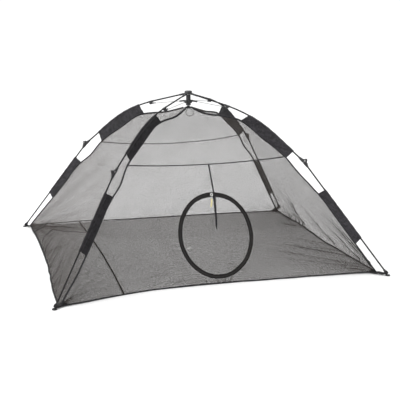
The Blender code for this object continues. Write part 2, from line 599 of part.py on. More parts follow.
piece("tie_strap", prism(strap, 0.0011, 0.0023, PORT_FRAME), webbing, flap_axis, None)

# ---------------------------------------------------------------- zip slider on the binding
ZIP_CENTRE_S = PORT_B - PORT_A ** 2 / PORT_B        # centre of the oval's curve at its top
slider_axis = bpy.data.objects.new("axis_zip_slider", None)
slider_axis.parent = port_axis
slider_axis.location = PORT_CENTRE + SLOPE_UP * ZIP_CENTRE_S - Vector(PORT_SWING)
scene.collection.objects.link(slider_axis)
body = prism([(-0.0045, PORT_B - 0.006), (0.0045, PORT_B - 0.006), (0.0052, PORT_B + 0.002), (0.0030, PORT_B + 0.007),
              (-0.0030, PORT_B + 0.007), (-0.0052, PORT_B + 0.002)], BAND_N + 0.0005, BAND_N + 0.0040, PORT_FRAME)
tab = prism([(-0.0025, PORT_B - 0.0085), (0.0025, PORT_B - 0.0085), (0.0025, PORT_B + 0.003), (-0.0025, PORT_B + 0.003)],
            BAND_N + 0.0035, BAND_N + 0.0052, PORT_FRAME)
piece("zip_slider", combined(body, [tab], "UNION"), zip_metal, slider_axis, None)

# ---------------------------------------------------------------- floor, with a webbing tab sewn on at each corner
nu, nv = 13, 9
cells = np.zeros((nv, nu, 3))
for i, v in enumerate(np.linspace(-1, 1, nv)):
    for j, u in enumerate(np.linspace(-1, 1, nu)):
        bow_x = FLOOR_BOW["right"] if u > 0 else FLOOR_BOW["left"]
        bow_y = FLOOR_BOW["rear"] if v > 0 else FLOOR_BOW["front"]
        cells[i, j] = (u * (FLOOR_X - bow_x * (1 - abs(v) ** 2.4)), v * (FLOOR_Y - bow_y * (1 - abs(u) ** 2.0)), FLOOR_T / 2)
floor = link(grid_mesh(cells), "floor")
thicken(floor, FLOOR_T)
bpy.context.view_layer.update()
floor_solid = bpy.data.meshes.new_from_object(floor.evaluated_get(bpy.context.evaluated_depsgraph_get()))
bpy.data.objects.remove(floor, do_unlink=True)
tabs = []
for sx, sy in POLES.values():
    turn = Matrix.Rotation(math.atan2(sy * HALF_DEPTH, sx * HALF_WIDTH), 4, "Z")
    tabs.append(prism([(1.1600, 0.0003), (1.2150, 0.0003), (1.2150, 0.0015), (1.1600, 0.0015)], -TAB_HALF, TAB_HALF, turn))
piece("floor", combined(floor_solid, tabs, "UNION"), mesh_cloth, None, None)

# ---------------------------------------------------------------- pull cord: a small loop that hangs from the tube
ROUTE = [(-0.0040, 0.8876), (-0.0048, 0.8760), (-0.0090, 0.8600), (-0.0150, 0.8460), (-0.0130, 0.8330), (0.0000, 0.8240),
         (0.0170, 0.8240), (0.0290, 0.8320), (0.0310, 0.8440), (0.0230, 0.8560), (0.0120, 0.8670), (0.0055, 0.8770),
         (0.0045, 0.8876)]


def through(points, steps):
    """A smooth curve through points, by Catmull-Rom."""
    q = np.array([2 * np.array(points[0]) - points[1], *points, 2 * np.array(points[-1]) - points[-2]])
    out = []
    for i in range(1, len(q) - 2):
        for s in np.linspace(0, 1, steps, endpoint=False):
            a0, a1, a2, a3 = q[i - 1], q[i], q[i + 1], q[i + 2]
            out.append(0.5 * (2 * a1 + (a2 - a0) * s + (2 * a0 - 5 * a1 + 4 * a2 - a3) * s * s
                              + (3 * a1 - a0 - 3 * a2 + a3) * s ** 3))
    out.append(q[-2])
    return np.array(out)


loop = through(ROUTE, 12)
gone = np.concatenate([[0], np.cumsum(np.linalg.norm(np.diff(loop, axis=0), axis=1))])
n = int(gone[-1] / 0.0058) + 1
even = np.stack([np.interp(np.linspace(0, gone[-1], n), gone, loop[:, k]) for k in range(2)], 1)
piece("pull_cord", line_curve("pull_cord", [(x, 0.0, z) for x, z in even], CORD_R, 2), cord_grey, None, None)

middle = int(np.argmin(even[:, 1] + 0.3 * abs(even[:, 0] - 0.0085)))
p, q = even[middle - 1], even[middle + 1]
d = (q - p) / np.linalg.norm(q - p)
c = even[middle]
stop = combined(cylinder(at(offset(c, d, -0.0032)), at(offset(c, d, 0.0032)), 0.0034, 14),
                [cylinder(at(offset(c, d, -0.006)), at(offset(c, d, 0.006)), CORD_R + 0.0007, 12)],
                "DIFFERENCE")
piece("cord_stop", stop, charcoal)
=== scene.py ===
"""Pop-up mesh tent for a pet: the visible model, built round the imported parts."""
import json
import math

import bmesh
import bpy
import numpy as np
from mathutils import Matrix, Vector

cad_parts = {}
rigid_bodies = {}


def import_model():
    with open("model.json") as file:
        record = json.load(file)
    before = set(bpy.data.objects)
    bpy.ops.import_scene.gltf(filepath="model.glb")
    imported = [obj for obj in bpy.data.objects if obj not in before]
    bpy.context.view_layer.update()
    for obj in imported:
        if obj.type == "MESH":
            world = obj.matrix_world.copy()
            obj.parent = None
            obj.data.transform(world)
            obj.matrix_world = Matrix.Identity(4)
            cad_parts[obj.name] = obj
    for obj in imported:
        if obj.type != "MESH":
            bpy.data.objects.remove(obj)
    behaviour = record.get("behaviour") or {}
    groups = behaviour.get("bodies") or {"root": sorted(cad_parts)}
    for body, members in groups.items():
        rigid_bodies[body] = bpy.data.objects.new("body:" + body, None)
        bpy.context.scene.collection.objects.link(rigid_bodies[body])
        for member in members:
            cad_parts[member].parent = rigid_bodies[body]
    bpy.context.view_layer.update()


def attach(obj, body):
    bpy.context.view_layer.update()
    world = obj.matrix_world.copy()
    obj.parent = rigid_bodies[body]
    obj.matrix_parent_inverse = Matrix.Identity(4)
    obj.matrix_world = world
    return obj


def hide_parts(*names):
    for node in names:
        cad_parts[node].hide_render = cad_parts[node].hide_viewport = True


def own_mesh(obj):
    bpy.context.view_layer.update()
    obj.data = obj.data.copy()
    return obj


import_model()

scene = bpy.context.scene

# ---------------------------------------------------------------- camera
BACK = Vector((-0.27673, -0.93182, 0.23480))
cam_data = bpy.data.cameras.new("camera")
cam_data.sensor_width, cam_data.lens = 36.0, 75.54
cam = bpy.data.objects.new("camera", cam_data)
scene.collection.objects.link(cam)
cam.location = (-1.3482, -4.7823, 1.5092)
cam.rotation_mode = "QUATERNION"
cam.rotation_quaternion = (-BACK).to_track_quat("-Z", "Y")
scene.camera = cam

# ---------------------------------------------------------------- sizes shared with the solids, in metres
HALF_WIDTH, HALF_DEPTH = 0.925, 0.814
POLE_SPAN = math.hypot(HALF_WIDTH, HALF_DEPTH)
CX, CY = HALF_WIDTH / POLE_SPAN, HALF_DEPTH / POLE_SPAN
POLES = {"A": (-1, 1), "B": (-1, -1), "C": (1, -1), "D": (1, 1)}
AZIMUTH = {k: math.atan2(sy * HALF_DEPTH, sx * HALF_WIDTH) for k, (sx, sy) in POLES.items()}
ROD_R = 0.0042
HUB_PIVOT, RUNNER_PIVOT, BRACKET_PIN = (0.0240, 0.9545), (0.0210, 0.9140), (0.2500, 0.8860)
ELBOW, FOOT_AXIS_END, FOOT_R = (0.7237, 0.6046), (1.2260, 0.0090), 1.2300
RIDGE = [(0.0, 0.8806), (0.158, 0.835), (0.3167, 0.814), (0.466, 0.7247), (0.6087, 0.6253),
         (0.690, 0.5366), (0.785, 0.4625), (0.900, 0.3275), (1.010, 0.200), (1.179, 0.004)]
SEAM_R, SEAM_Z, PEAK_Z, SEAM_MID_Z, WALL_LOW = 0.6087, 0.6253, 0.8806, 0.607, 0.004
MIDDLES = {"front": (0.402, 0.680), "rear": (0.402, 0.772), "left": (0.457, 0.860), "right": (0.457, 0.878)}
FLAT_HALF = 0.250
PORT_X, PORT_S, PORT_A, PORT_B, BAND_HALF = -0.0043, 0.2697, 0.2018, 0.2294, 0.0100
FLAP_HINGE_S = 0.2000
TILT = math.atan2(MIDDLES["front"][1] - MIDDLES["front"][0], SEAM_MID_Z)
SLOPE_UP = Vector((0, math.sin(TILT), math.cos(TILT)))
SLOPE_OUT = Vector((0, -math.cos(TILT), math.sin(TILT)))
PORT_CENTRE = Vector((PORT_X, -MIDDLES["front"][1], 0)) + SLOPE_UP * PORT_S
GROUND = 0.0012

# ================================================================ materials


class Nodes:
    """A small helper for building a node tree."""

    def __init__(self, name):
        self.mat = bpy.data.materials.new(name)
        self.mat.use_nodes = True
        self.tree = self.mat.node_tree
        self.shader = self.tree.nodes["Principled BSDF"]

    def new(self, kind, **values):
        n = self.tree.nodes.new(kind)
        for k, v in values.items():
            setattr(n, k, v)
        return n

    def link(self, a, b):
        self.tree.links.new(a, b)

    def put(self, target, value):
        if isinstance(value, bpy.types.NodeSocket):
            self.link(value, target)
        else:
            target.default_value = value

    def math(self, op, a, b=0.0, c=None, clamp=False):
        n = self.new("ShaderNodeMath", operation=op, use_clamp=clamp)
        self.put(n.inputs[0], a)
        self.put(n.inputs[1], b)
        if c is not None:
            self.put(n.inputs[2], c)
        return n.outputs[0]

    def noise(self, vector, scale, detail=3.0, rough=0.55, distortion=0.0):
        n = self.new("ShaderNodeTexNoise")
        self.link(vector, n.inputs["Vector"])
        n.inputs["Scale"].default_value = scale
        n.inputs["Detail"].default_value = detail
        n.inputs["Roughness"].default_value = rough
        n.inputs["Distortion"].default_value = distortion
        return n.outputs["Fac"]

    def remap(self, value, a, b, c, d):
        n = self.new("ShaderNodeMapRange")
        n.clamp = True
        self.put(n.inputs["Value"], value)
        for i, v in zip((1, 2, 3, 4), (a, b, c, d)):
            n.inputs[i].default_value = v
        return n.outputs["Result"]

    def mix(self, fac, a, b):
        n = self.new("ShaderNodeMix", data_type="RGBA")
        self.put(n.inputs["Factor"], fac)
        for sock, value in ((n.inputs[6], a), (n.inputs[7], b)):
            if isinstance(value, bpy.types.NodeSocket):
                self.link(value, sock)
            else:
                sock.default_value = (*value, 1)
        return n.outputs[2]

    def objects(self):
        return self.new("ShaderNodeTexCoord").outputs["Object"]

    def cloth(self):
        """The cloth's own coordinates in metres: across, along, and how dense it is, which on the floor also holds
        painted shade.
        """
        a = self.new("ShaderNodeAttribute", attribute_name="cloth")
        s = self.new("ShaderNodeSeparateXYZ")
        self.link(a.outputs["Vector"], s.inputs[0])
        return a.outputs["Vector"], s.outputs

    def bump(self, height, strength, distance=0.001):
        n = self.new("ShaderNodeBump")
        n.inputs["Strength"].default_value = strength
        n.inputs["Distance"].default_value = distance
        self.link(height, n.inputs["Height"])
        self.link(n.outputs["Normal"], self.shader.inputs["Normal"])

    def set(self, **values):
        for k, v in values.items():
            self.put(self.shader.inputs[k.replace("_", " ")], v)
        return self.mat


def threads(m, u, pitch, width):
    """0 to 1 across a set of threads that repeat every pitch."""
    f = m.math("PINGPONG", m.math("ADD", u, 100.0), pitch / 2)
    return m.remap(f, width * 0.5, width * 0.5 + pitch * 0.16, 1.0, 0.0)


def fold_lines(m, folds, keep):
    """Dark lines where the netting doubles over itself. Each fold is a point, a point and a half width, in the rest frame."""
    rest = m.new("ShaderNodeAttribute", attribute_name="rest").outputs["Vector"]
    jitter = m.noise(rest, 40.0, 2.0)
    best = 0.0
    for a, b, width, strength in folds:
        a, b = Vector(a), Vector(b)
        ab = b - a
        rel = m.new("ShaderNodeVectorMath", operation="SUBTRACT")
        m.link(rest, rel.inputs[0])
        rel.inputs[1].default_value = a
        dot = m.new("ShaderNodeVectorMath", operation="DOT_PRODUCT")
        m.link(rel.outputs[0], dot.inputs[0])
        along = Vector((ab.x * keep[0], ab.y * keep[1], ab.z * keep[2]))
        dot.inputs[1].default_value = along / along.length_squared
        k = m.math("MULTIPLY", dot.outputs["Value"], 1.0, clamp=True)
        scaled = m.new("ShaderNodeVectorMath", operation="SCALE")
        scaled.inputs[0].default_value = ab
        m.link(k, scaled.inputs["Scale"])
        off = m.new("ShaderNodeVectorMath", operation="SUBTRACT")
        m.link(rel.outputs[0], off.inputs[0])
        m.link(scaled.outputs[0], off.inputs[1])
        flat = m.new("ShaderNodeVectorMath", operation="MULTIPLY")
        m.link(off.outputs[0], flat.inputs[0])
        flat.inputs[1].default_value = keep
        size = m.new("ShaderNodeVectorMath", operation="LENGTH")
        m.link(flat.outputs[0], size.inputs[0])
        wide = m.math("MULTIPLY", size.outputs["Value"], m.remap(jitter, 0.3, 0.7, 0.75, 1.35))
        line = m.remap(wide, width * 0.25, width, strength, 0.0)
        # the fold fades at its upper end
        line = m.math("MULTIPLY", line, m.remap(k, 0.0, 0.35, 0.15, 1.0))
        best = m.math("MAXIMUM", line, best)
    return best


def net_material(name="mesh_cloth", base=1.0, folds=(), floor=False, keep=(0.0, 1.0, 1.0), courses=0.34, slant=0.62, pitch=0.0038, width=0.00066):
    """Knitted netting: two slanted sets of threads over open cells."""
    m = Nodes(name)
    vec, (x, y, dense) = m.cloth()
    a = m.math("ADD", x, m.math("MULTIPLY", y, slant))
    b = m.math("SUBTRACT", x, m.math("MULTIPLY", y, slant))
    net = m.math("MAXIMUM", threads(m, a, pitch, width), threads(m, b, pitch, width))
    coarse = m.noise(vec, 5.0, 2.0)
    stretch = m.new("ShaderNodeMapping")
    stretch.inputs["Scale"].default_value = (1.0, 0.30 if floor else 1.0, 0.0)
    m.link(vec, stretch.inputs["Vector"])
    grain = m.noise(stretch.outputs["Vector"], 96.0 if floor else 130.0, 1.0, 0.6)
    cover = m.math("MULTIPLY_ADD", net, 0.58 * base, 0.045 * base)
    cover = m.math("MULTIPLY", cover, m.remap(coarse, 0.3, 0.7, 0.96, 1.04))
    cover = m.math("MULTIPLY", cover, m.remap(grain, 0.25, 0.75, 0.58, 1.42))
    # the knit's courses are a little closer together every few rows
    shape = m.new("ShaderNodeSeparateXYZ")
    m.link(stretch.outputs["Vector"], shape.inputs[0])
    sx, sy = shape.outputs[0], m.math("MULTIPLY", shape.outputs[1], 0.62)
    wave = math.tau / (0.0124 if floor else 0.0112)
    course = m.math("MULTIPLY", m.math("SINE", m.math("MULTIPLY", m.math("ADD", sx, sy), wave)),
                    m.math("SINE", m.math("MULTIPLY", m.math("SUBTRACT", sx, sy), wave)))
    cover = m.math("MULTIPLY", cover, m.math("MULTIPLY_ADD", course, 0.30 if floor else courses, 1.0))
    many = dense
    if folds:
        many = m.math("ADD", many, fold_lines(m, folds, (1.0, 1.0, 0.0) if floor else keep))
    if floor:
        rest = m.new("ShaderNodeSeparateXYZ")
        m.link(m.new("ShaderNodeAttribute", attribute_name="rest").outputs["Vector"], rest.inputs[0])
        rx, ry = rest.outputs[0], rest.outputs[1]
        # the rear of the floor is doubled over: its front edge, y against x
        edge = m.new("ShaderNodeFloatCurve")
        curve = edge.mapping.curves[0]
        for i, (px_, py_) in enumerate(((-0.90, 0.790), (-0.829, 0.750), (-0.734, 0.640), (-0.576, 0.530), (-0.463, 0.419),
                                        (-0.317, 0.330), (-0.120, 0.256), (0.150, 0.251), (0.510, 0.268), (0.90, 0.300))):
            q = ((px_ + 0.9) / 1.8, py_)
            if i in (0, 9):
                curve.points[0 if i == 0 else -1].location = q
            else:
                curve.points.new(*q)
        edge.mapping.update()
        m.link(m.math("DIVIDE", m.math("ADD", rx, 0.9), 1.8), edge.inputs["Value"])
        wobble = m.math("MULTIPLY", m.math("SUBTRACT", m.noise(vec, 11.0, 2.0), 0.5), 0.018)
        past = m.math("ADD", m.math("SUBTRACT", ry, edge.outputs["Value"]), wobble)
        left = m.remap(rx, -0.62, -0.30, 1.0, 0.0)
        many = m.math("ADD", many, m.math("MULTIPLY", m.remap(past, -0.004, 0.006, 0.0, 1.0), m.math("MULTIPLY_ADD", left, 0.34, 0.16)))
        many = m.math("ADD", many, m.math("MULTIPLY", m.remap(m.math("ABSOLUTE", past), 0.0, 0.010, 1.0, 0.0), m.math("MULTIPLY_ADD", left, 1.2, 0.26)))
        # the seam that joins the floor's two widths
        bend = m.math("MULTIPLY", m.math("POWER", m.math("ABSOLUTE", m.math("MULTIPLY", m.math("ADD", ry, 0.02), 1.0)), 2.0), -0.034)
        off = m.math("ABSOLUTE", m.math("SUBTRACT", rx, m.math("ADD", bend, -0.5345)))
        many = m.math("ADD", many, m.remap(off, 0.0042, 0.0056, 2.4, 0.0))
    cover = m.math("MULTIPLY", cover, many, clamp=True)
    solid = m.remap(many, 1.8, 3.0, 0.0, 0.96)
    cover = m.math("MAXIMUM", cover, solid)
    colour = m.mix(coarse, (0.044, 0.037, 0.033), (0.060, 0.051, 0.046))
    colour = m.mix(m.remap(many, 1.8, 3.0, 0.0, 1.0), colour, (0.020, 0.018, 0.018))
    m.shader.inputs["Specular IOR Level"].default_value = 0.25
    m.bump(net, 0.35, 0.0006)
    return m.set(Base_Color=colour, Roughness=0.85, Alpha=cover)


def webbing_material(name="binding_webbing", dark=(0.010, 0.010, 0.012), light=(0.022, 0.021, 0.024), pitch=0.0016):
    m = Nodes(name)
    vec, (x, y, _) = m.cloth()
    rib = threads(m, y, pitch, pitch * 0.35)
    across = threads(m, x, pitch * 1.3, pitch * 0.3)
    fuzz = m.noise(vec, 900.0, 2.0)
    wear = m.noise(m.objects(), 14.0, 4.0)
    height = m.math("ADD", m.math("ADD", rib, m.math("MULTIPLY", across, 0.5)), m.math("MULTIPLY", fuzz, 0.4))
    m.bump(height, 0.5, 0.0005)
    return m.set(Base_Color=m.mix(wear, dark, light), Roughness=m.remap(fuzz, 0.3, 0.7, 0.75, 0.92))


def nylon_material(name="sleeve_nylon", dark=(0.0030, 0.0026, 0.0040), light=(0.0300, 0.0266, 0.0335), gloss=0.5):
    m = Nodes(name)
    vec, (x, y, seam) = m.cloth()
    obj = m.objects()
    warp, weft = threads(m, x, 0.0011, 0.0005), threads(m, y, 0.0011, 0.0005)
    weave = m.math("ADD", m.math("MULTIPLY", warp, 0.6), m.math("MULTIPLY", weft, 0.6))
    crumple = m.noise(obj, 26.0, 4.0, 0.6, 0.6)
    broad = m.noise(obj, 7.0, 2.0)
    stitch = m.math("MULTIPLY", threads(m, y, 0.0042, 0.0020), m.remap(seam, 0.75, 0.9, 0.0, 1.0))
    height = m.math("ADD", m.math("MULTIPLY", weave, 0.08), m.math("MULTIPLY", crumple, 1.6))
    height = m.math("ADD", height, m.math("MULTIPLY", stitch, 0.8))
    # the base colour swings from dark to light across fold-sized patches: painted shade and light of crumpled folds,
    # with a broad random tone mixed in
    folds = m.noise(obj, 78.0, 2.0, 0.5, 1.2)
    base = m.mix(m.remap(m.math("MULTIPLY_ADD", folds, 0.8, m.math("MULTIPLY", broad, 0.2)), 0.40, 0.60, 0.0, 1.0), dark, light)
    base = m.mix(m.math("MULTIPLY", stitch, 0.7), base, (0.045, 0.042, 0.048))
    m.bump(height, 0.62, 0.0026)
    m.set(Base_Color=base, Roughness=m.remap(crumple, 0.3, 0.7, 0.52, 0.72))
    m.shader.inputs["Specular IOR Level"].default_value = gloss
    m.shader.inputs["Sheen Weight"].default_value = 0.05
    m.shader.inputs["Sheen Roughness"].default_value = 0.5
    return m.mat


def plastic_material(name="moulded_charcoal", dark=(0.014, 0.014, 0.016), light=(0.034, 0.034, 0.037), rough=(0.34, 0.52)):
    m = Nodes(name)
    obj = m.objects()
    grain, broad, scuff = m.noise(obj, 1400.0, 2.0), m.noise(obj, 30.0, 3.0), m.noise(obj, 160.0, 5.0, 0.7)
    m.bump(m.math("ADD", grain, m.math("MULTIPLY", scuff, 0.4)), 0.18, 0.0004)
    worn = m.remap(scuff, 0.60, 0.78, 0.0, 0.5)
    colour = m.mix(worn, m.mix(broad, dark, light), (0.075, 0.074, 0.076))
    return m.set(Base_Color=colour, Roughness=m.remap(scuff, 0.3, 0.7, *rough))


def rod_material(name="rod_grey", dark=(0.0045, 0.0045, 0.005), light=(0.011, 0.011, 0.013), rough=(0.46, 0.60), metal=0.0):
    """Drawn glass fibre or wire: fine lengthwise streaks."""
    m = Nodes(name)
    vec, (x, y, _) = m.cloth()
    squash = m.new("ShaderNodeMapping")
    squash.inputs["Scale"].default_value = (900.0, 14.0, 0.0)
    m.link(vec, squash.inputs["Vector"])
    streak = m.noise(squash.outputs["Vector"], 1.0, 3.0)
    blotch = m.noise(m.objects(), 22.0, 3.0)
    m.bump(streak, 0.12, 0.0003)
    colour = m.mix(m.math("MULTIPLY_ADD", streak, 0.6, m.math("MULTIPLY", blotch, 0.4)), dark, light)
    m.set(Base_Color=colour, Roughness=m.remap(streak, 0.3, 0.7, *rough))
    m.shader.inputs["Specular IOR Level"].default_value = 0.5 if metal else 0.24
    m.shader.inputs["Metallic"].default_value = metal
    return m.mat


def steel_material():
    m = Nodes("rivet_steel")
    obj = m.objects()
    spin, spot = m.noise(obj, 700.0, 3.0), m.noise(obj, 90.0, 4.0)
    m.bump(spin, 0.1, 0.0002)
    m.set(Base_Color=m.mix(spot, (0.34, 0.34, 0.35), (0.52, 0.51, 0.50)), Roughness=m.remap(spin, 0.3, 0.7, 0.22, 0.42))
    m.shader.inputs["Metallic"].default_value = 1.0
    return m.mat


def cord_material(name="cord_grey", dark=(0.005, 0.0045, 0.0045), light=(0.018, 0.016, 0.016)):
    m = Nodes(name)
    obj = m.objects()
    wave = m.new("ShaderNodeTexWave", wave_type="BANDS", bands_direction="DIAGONAL")
    m.link(obj, wave.inputs["Vector"])
    wave.inputs["Scale"].default_value = 260.0
    wave.inputs["Distortion"].default_value = 2.0
    m.bump(wave.outputs["Fac"], 0.6, 0.0005)
    return m.set(Base_Color=m.mix(wave.outputs["Fac"], dark, light), Roughness=0.8)


def ribbon_material(name, dark, light, pitch=0.0009):
    m = Nodes(name)
    obj = m.objects()
    s = m.new("ShaderNodeSeparateXYZ")
    m.link(obj, s.inputs[0])
    weave = m.math("MAXIMUM", threads(m, s.outputs[0], pitch, pitch * 0.4), threads(m, s.outputs[2], pitch, pitch * 0.4))
    spot = m.noise(obj, 120.0, 3.0)
    m.bump(weave, 0.4, 0.0003)
    return m.set(Base_Color=m.mix(spot, dark, light), Roughness=m.remap(spot, 0.3, 0.7, 0.5, 0.75))


LEFT_FOLDS = [((-0.737, -0.170, 0.195), (-0.866, -0.440, 0.006), 0.0110, 2.10), ((-0.770, -0.100, 0.145), (-0.869, -0.228, 0.004), 0.0100, 2.10),
              ((-0.782, 0.140, 0.127), (-0.862, 0.125, 0.010), 0.0110, 2.10), ((-0.745, -0.240, 0.182), (-0.878, -0.480, 0.002), 0.0080, 2.10),
              ((-0.800, 0.330, 0.110), (-0.866, 0.270, 0.006), 0.0130, 2.04), ((-0.820, 0.020, 0.070), (-0.868, -0.040, 0.004), 0.0110, 2.04),
              ((-0.760, -0.020, 0.160), (-0.868, -0.120, 0.006), 0.0080, 2.10), ((-0.740, -0.330, 0.190), (-0.884, -0.560, 0.002), 0.0080, 2.10),
              ((-0.730, -0.400, 0.205), (-0.889, -0.640, 0.002), 0.0070, 2.10), ((-0.790, 0.230, 0.120), (-0.866, 0.190, 0.008), 0.0090, 2.04),
              ((-0.800, 0.520, 0.100), (-0.876, 0.640, 0.006), 0.0100, 2.04), ((-0.780, 0.440, 0.130), (-0.874, 0.600, 0.006), 0.0100, 1.70)]
RIGHT_FOLDS = [((0.696, 0.089, 0.262), (0.862, 0.276, 0.012), 0.0112, 1.80), ((0.730, 0.118, 0.212), (0.868, 0.240, 0.006), 0.0090, 1.80),
               ((0.778, 0.430, 0.142), (0.864, 0.497, 0.010), 0.0097, 1.80), ((0.800, 0.380, 0.108), (0.866, 0.470, 0.008), 0.0083, 1.80),
               ((0.690, 0.160, 0.255), (0.864, 0.335, 0.010), 0.0135, 1.49), ((0.710, 0.260, 0.225), (0.866, 0.400, 0.008), 0.0112, 1.35),
               ((0.700, -0.110, 0.255), (0.858, -0.255, 0.020), 0.0075, 1.35), ((0.720, -0.330, 0.222), (0.860, -0.560, 0.018), 0.0075, 1.62),
               ((0.680, -0.440, 0.285), (0.864, -0.690, 0.012), 0.0075, 1.76), ((0.640, -0.460, 0.340), (0.850, -0.690, 0.035), 0.0067, 1.62)]
FLOOR_FOLDS = [((0.580, -0.070, 0.0), (0.871, -0.438, 0.0), 0.0110, 1.40), ((0.460, -0.150, 0.0), (0.845, -0.610, 0.0), 0.0102, 1.05),
               ((0.430, -0.450, 0.0), (0.836, -0.712, 0.0), 0.0075, 0.90), ((0.610, -0.660, 0.0), (0.840, -0.738, 0.0), 0.0076, 0.45),
               ((0.440, -0.310, 0.0), (0.840, -0.660, 0.0), 0.0093, 0.88), ((0.740, 0.420, 0.0), (0.830, 0.300, 0.0), 0.0119, 1.05),
               ((0.660, -0.130, 0.0), (0.868, -0.330, 0.0), 0.0102, 1.05), ((0.700, 0.020, 0.0), (0.866, -0.180, 0.0), 0.0102, 0.88),
               ((-0.560, 0.735, 0.0), (-0.884, 0.788, 0.0), 0.0100, 1.90), ((-0.560, 0.640, 0.0), (-0.880, 0.776, 0.0), 0.0100, 1.70),
               ((-0.640, 0.560, 0.0), (-0.878, 0.760, 0.0), 0.0100, 1.40), ((-0.780, 0.480, 0.0), (-0.876, 0.740, 0.0), 0.0120, 1.20),
               ((-0.700, 0.300, 0.0), (-0.866, 0.150, 0.0), 0.0136, 1.05),
               ((0.130, -0.330, 0.0), (0.185, -0.520, 0.0), 0.0102, 0.61), ((-0.480, -0.520, 0.0), (-0.250, -0.440, 0.0), 0.0102, 0.70),
               ((-0.300, -0.610, 0.0), (-0.080, -0.560, 0.0), 0.0093, 0.53), ((-0.800, -0.640, 0.0), (-0.880, -0.770, 0.0), 0.0127, 1.57)]
FRONT_FOLDS = [((-0.040, -0.668, 0.044), (-0.018, -0.676, 0.004), 0.0080, 0.8), ((0.026, -0.665, 0.056), (0.012, -0.676, 0.004), 0.0080, 1.0),
               ((0.066, -0.670, 0.036), (0.034, -0.677, 0.004), 0.0080, 0.9), ((-0.110, -0.668, 0.030), (-0.080, -0.674, 0.004), 0.0070, 0.6),
               ((0.000, -0.668, 0.030), (0.004, -0.675, 0.004), 0.0070, 0.9), ((-0.180, -0.670, 0.024), (-0.160, -0.672, 0.004), 0.0060, 0.5)]
NET = net_material("mesh_cloth", 1.04)
NET_REAR = net_material("mesh_cloth_rear", 1.04, courses=0.10, slant=1.2, pitch=0.0048, width=0.00083)
NET_FRONT = net_material("mesh_cloth_front", 1.04, FRONT_FOLDS, keep=(1.0, 0.0, 1.0))
NET_LEFT = net_material("mesh_cloth_left", 1.56, LEFT_FOLDS)
NET_RIGHT = net_material("mesh_cloth_right", 1.47, RIGHT_FOLDS)
NET_FLOOR = net_material("mesh_cloth_floor", 0.83, FLOOR_FOLDS, True)
WEBBING = webbing_material()
STRAP = webbing_material("corner_webbing", (0.006, 0.006, 0.007), (0.014, 0.013, 0.015))
PIPING = webbing_material("port_binding", (0.0034, 0.0026, 0.0024), (0.0090, 0.0070, 0.0062))
NYLON = nylon_material()
# a darker, less glossy copy of the sleeve nylon for poles B and D: painted shade on the sides that face away from the
# light
NYLON_SHADED = nylon_material("sleeve_nylon_painted_shade", (0.0014, 0.0012, 0.0018), (0.0160, 0.0138, 0.0170), 0.30)
PLASTIC = plastic_material()
# a darker copy of the moulded plastic for the elbows of poles B and D: painted shade on the sides that face away from
# the light
PLASTIC_SHADED = plastic_material("moulded_charcoal_painted_shade", (0.006, 0.006, 0.007), (0.018, 0.018, 0.020), (0.42, 0.60))
CAP_PLASTIC = plastic_material("cap_charcoal", (0.020, 0.020, 0.022), (0.045, 0.045, 0.047), (0.28, 0.42))
ROD = rod_material()
STRUT = rod_material("strut_grey", (0.42, 0.42, 0.43), (0.62, 0.62, 0.62), (0.22, 0.40))
STEEL = steel_material()
CORD = cord_material()
TAG = ribbon_material("tag_yellow", (0.72, 0.62, 0.26), (0.84, 0.77, 0.45))
PULL = ribbon_material("puller_white", (0.62, 0.62, 0.60), (0.80, 0.80, 0.78))
ZIP = rod_material("zip_metal", (0.030, 0.028, 0.028), (0.080, 0.076, 0.074), (0.32, 0.50), 0.6)

# ================================================================ mesh helpers


def add(mesh, name, mats, body=None, smooth_angle=None):
    o = bpy.data.objects.new(name, mesh)
    scene.collection.objects.link(o)
    for m in mats if isinstance(mats, (list, tuple)) else [mats]:
        mesh.materials.append(m)
    if smooth_angle is not None:
        mesh.shade_smooth()
        if smooth_angle:
            mesh.set_sharp_from_angle(angle=math.radians(smooth_angle))
    if body:
        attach(o, body)
    return o


def cloth_attribute(mesh, values):
    a = mesh.attributes.new("cloth", "FLOAT_VECTOR", "POINT")
    a.data.foreach_set("vector", np.asarray(values, np.float32).ravel())


def pchip(xs, ys):
    """A smooth curve through the points that never overshoots them."""
    xs, ys = np.asarray(xs, float), np.asarray(ys, float)
    h, d = np.diff(xs), np.diff(ys) / np.diff(xs)
    m = np.zeros(len(xs))
    for i in range(1, len(xs) - 1):
        if d[i - 1] * d[i] > 0:
            w1, w2 = 2 * h[i] + h[i - 1], h[i] + 2 * h[i - 1]
            m[i] = (w1 + w2) / (w1 / d[i - 1] + w2 / d[i])
    m[0], m[-1] = d[0], d[-1]

    def f(x):
        x = np.clip(x, xs[0], xs[-1])
        i = np.clip(np.searchsorted(xs, x) - 1, 0, len(xs) - 2)
        t = (x - xs[i]) / h[i]
        return ((2 * t ** 3 - 3 * t ** 2 + 1) * ys[i] + (t ** 3 - 2 * t ** 2 + t) * h[i] * m[i]
                + (-2 * t ** 3 + 3 * t ** 2) * ys[i + 1] + (t ** 3 - t ** 2) * h[i] * m[i + 1])
    return f


ridge_r, ridge_z = (np.array(c) for c in zip(*RIDGE))
ridge_height = pchip(ridge_r, ridge_z)
ridge_reach = pchip(ridge_z[::-1], ridge_r[::-1])


def smoothstep(x, a, b):
    t = np.clip((x - a) / (b - a), 0, 1)
    return t * t * (3 - 2 * t)


def turn(name):
    return Matrix.Rotation(AZIMUTH[name], 4, "Z")


def at(p, t=0.0):
    return Vector((p[0], t, p[1]))


def offset(p, d, along, out=0.0):
    return np.array(p) + np.array(d) * along + np.array([-d[1], d[0]]) * out


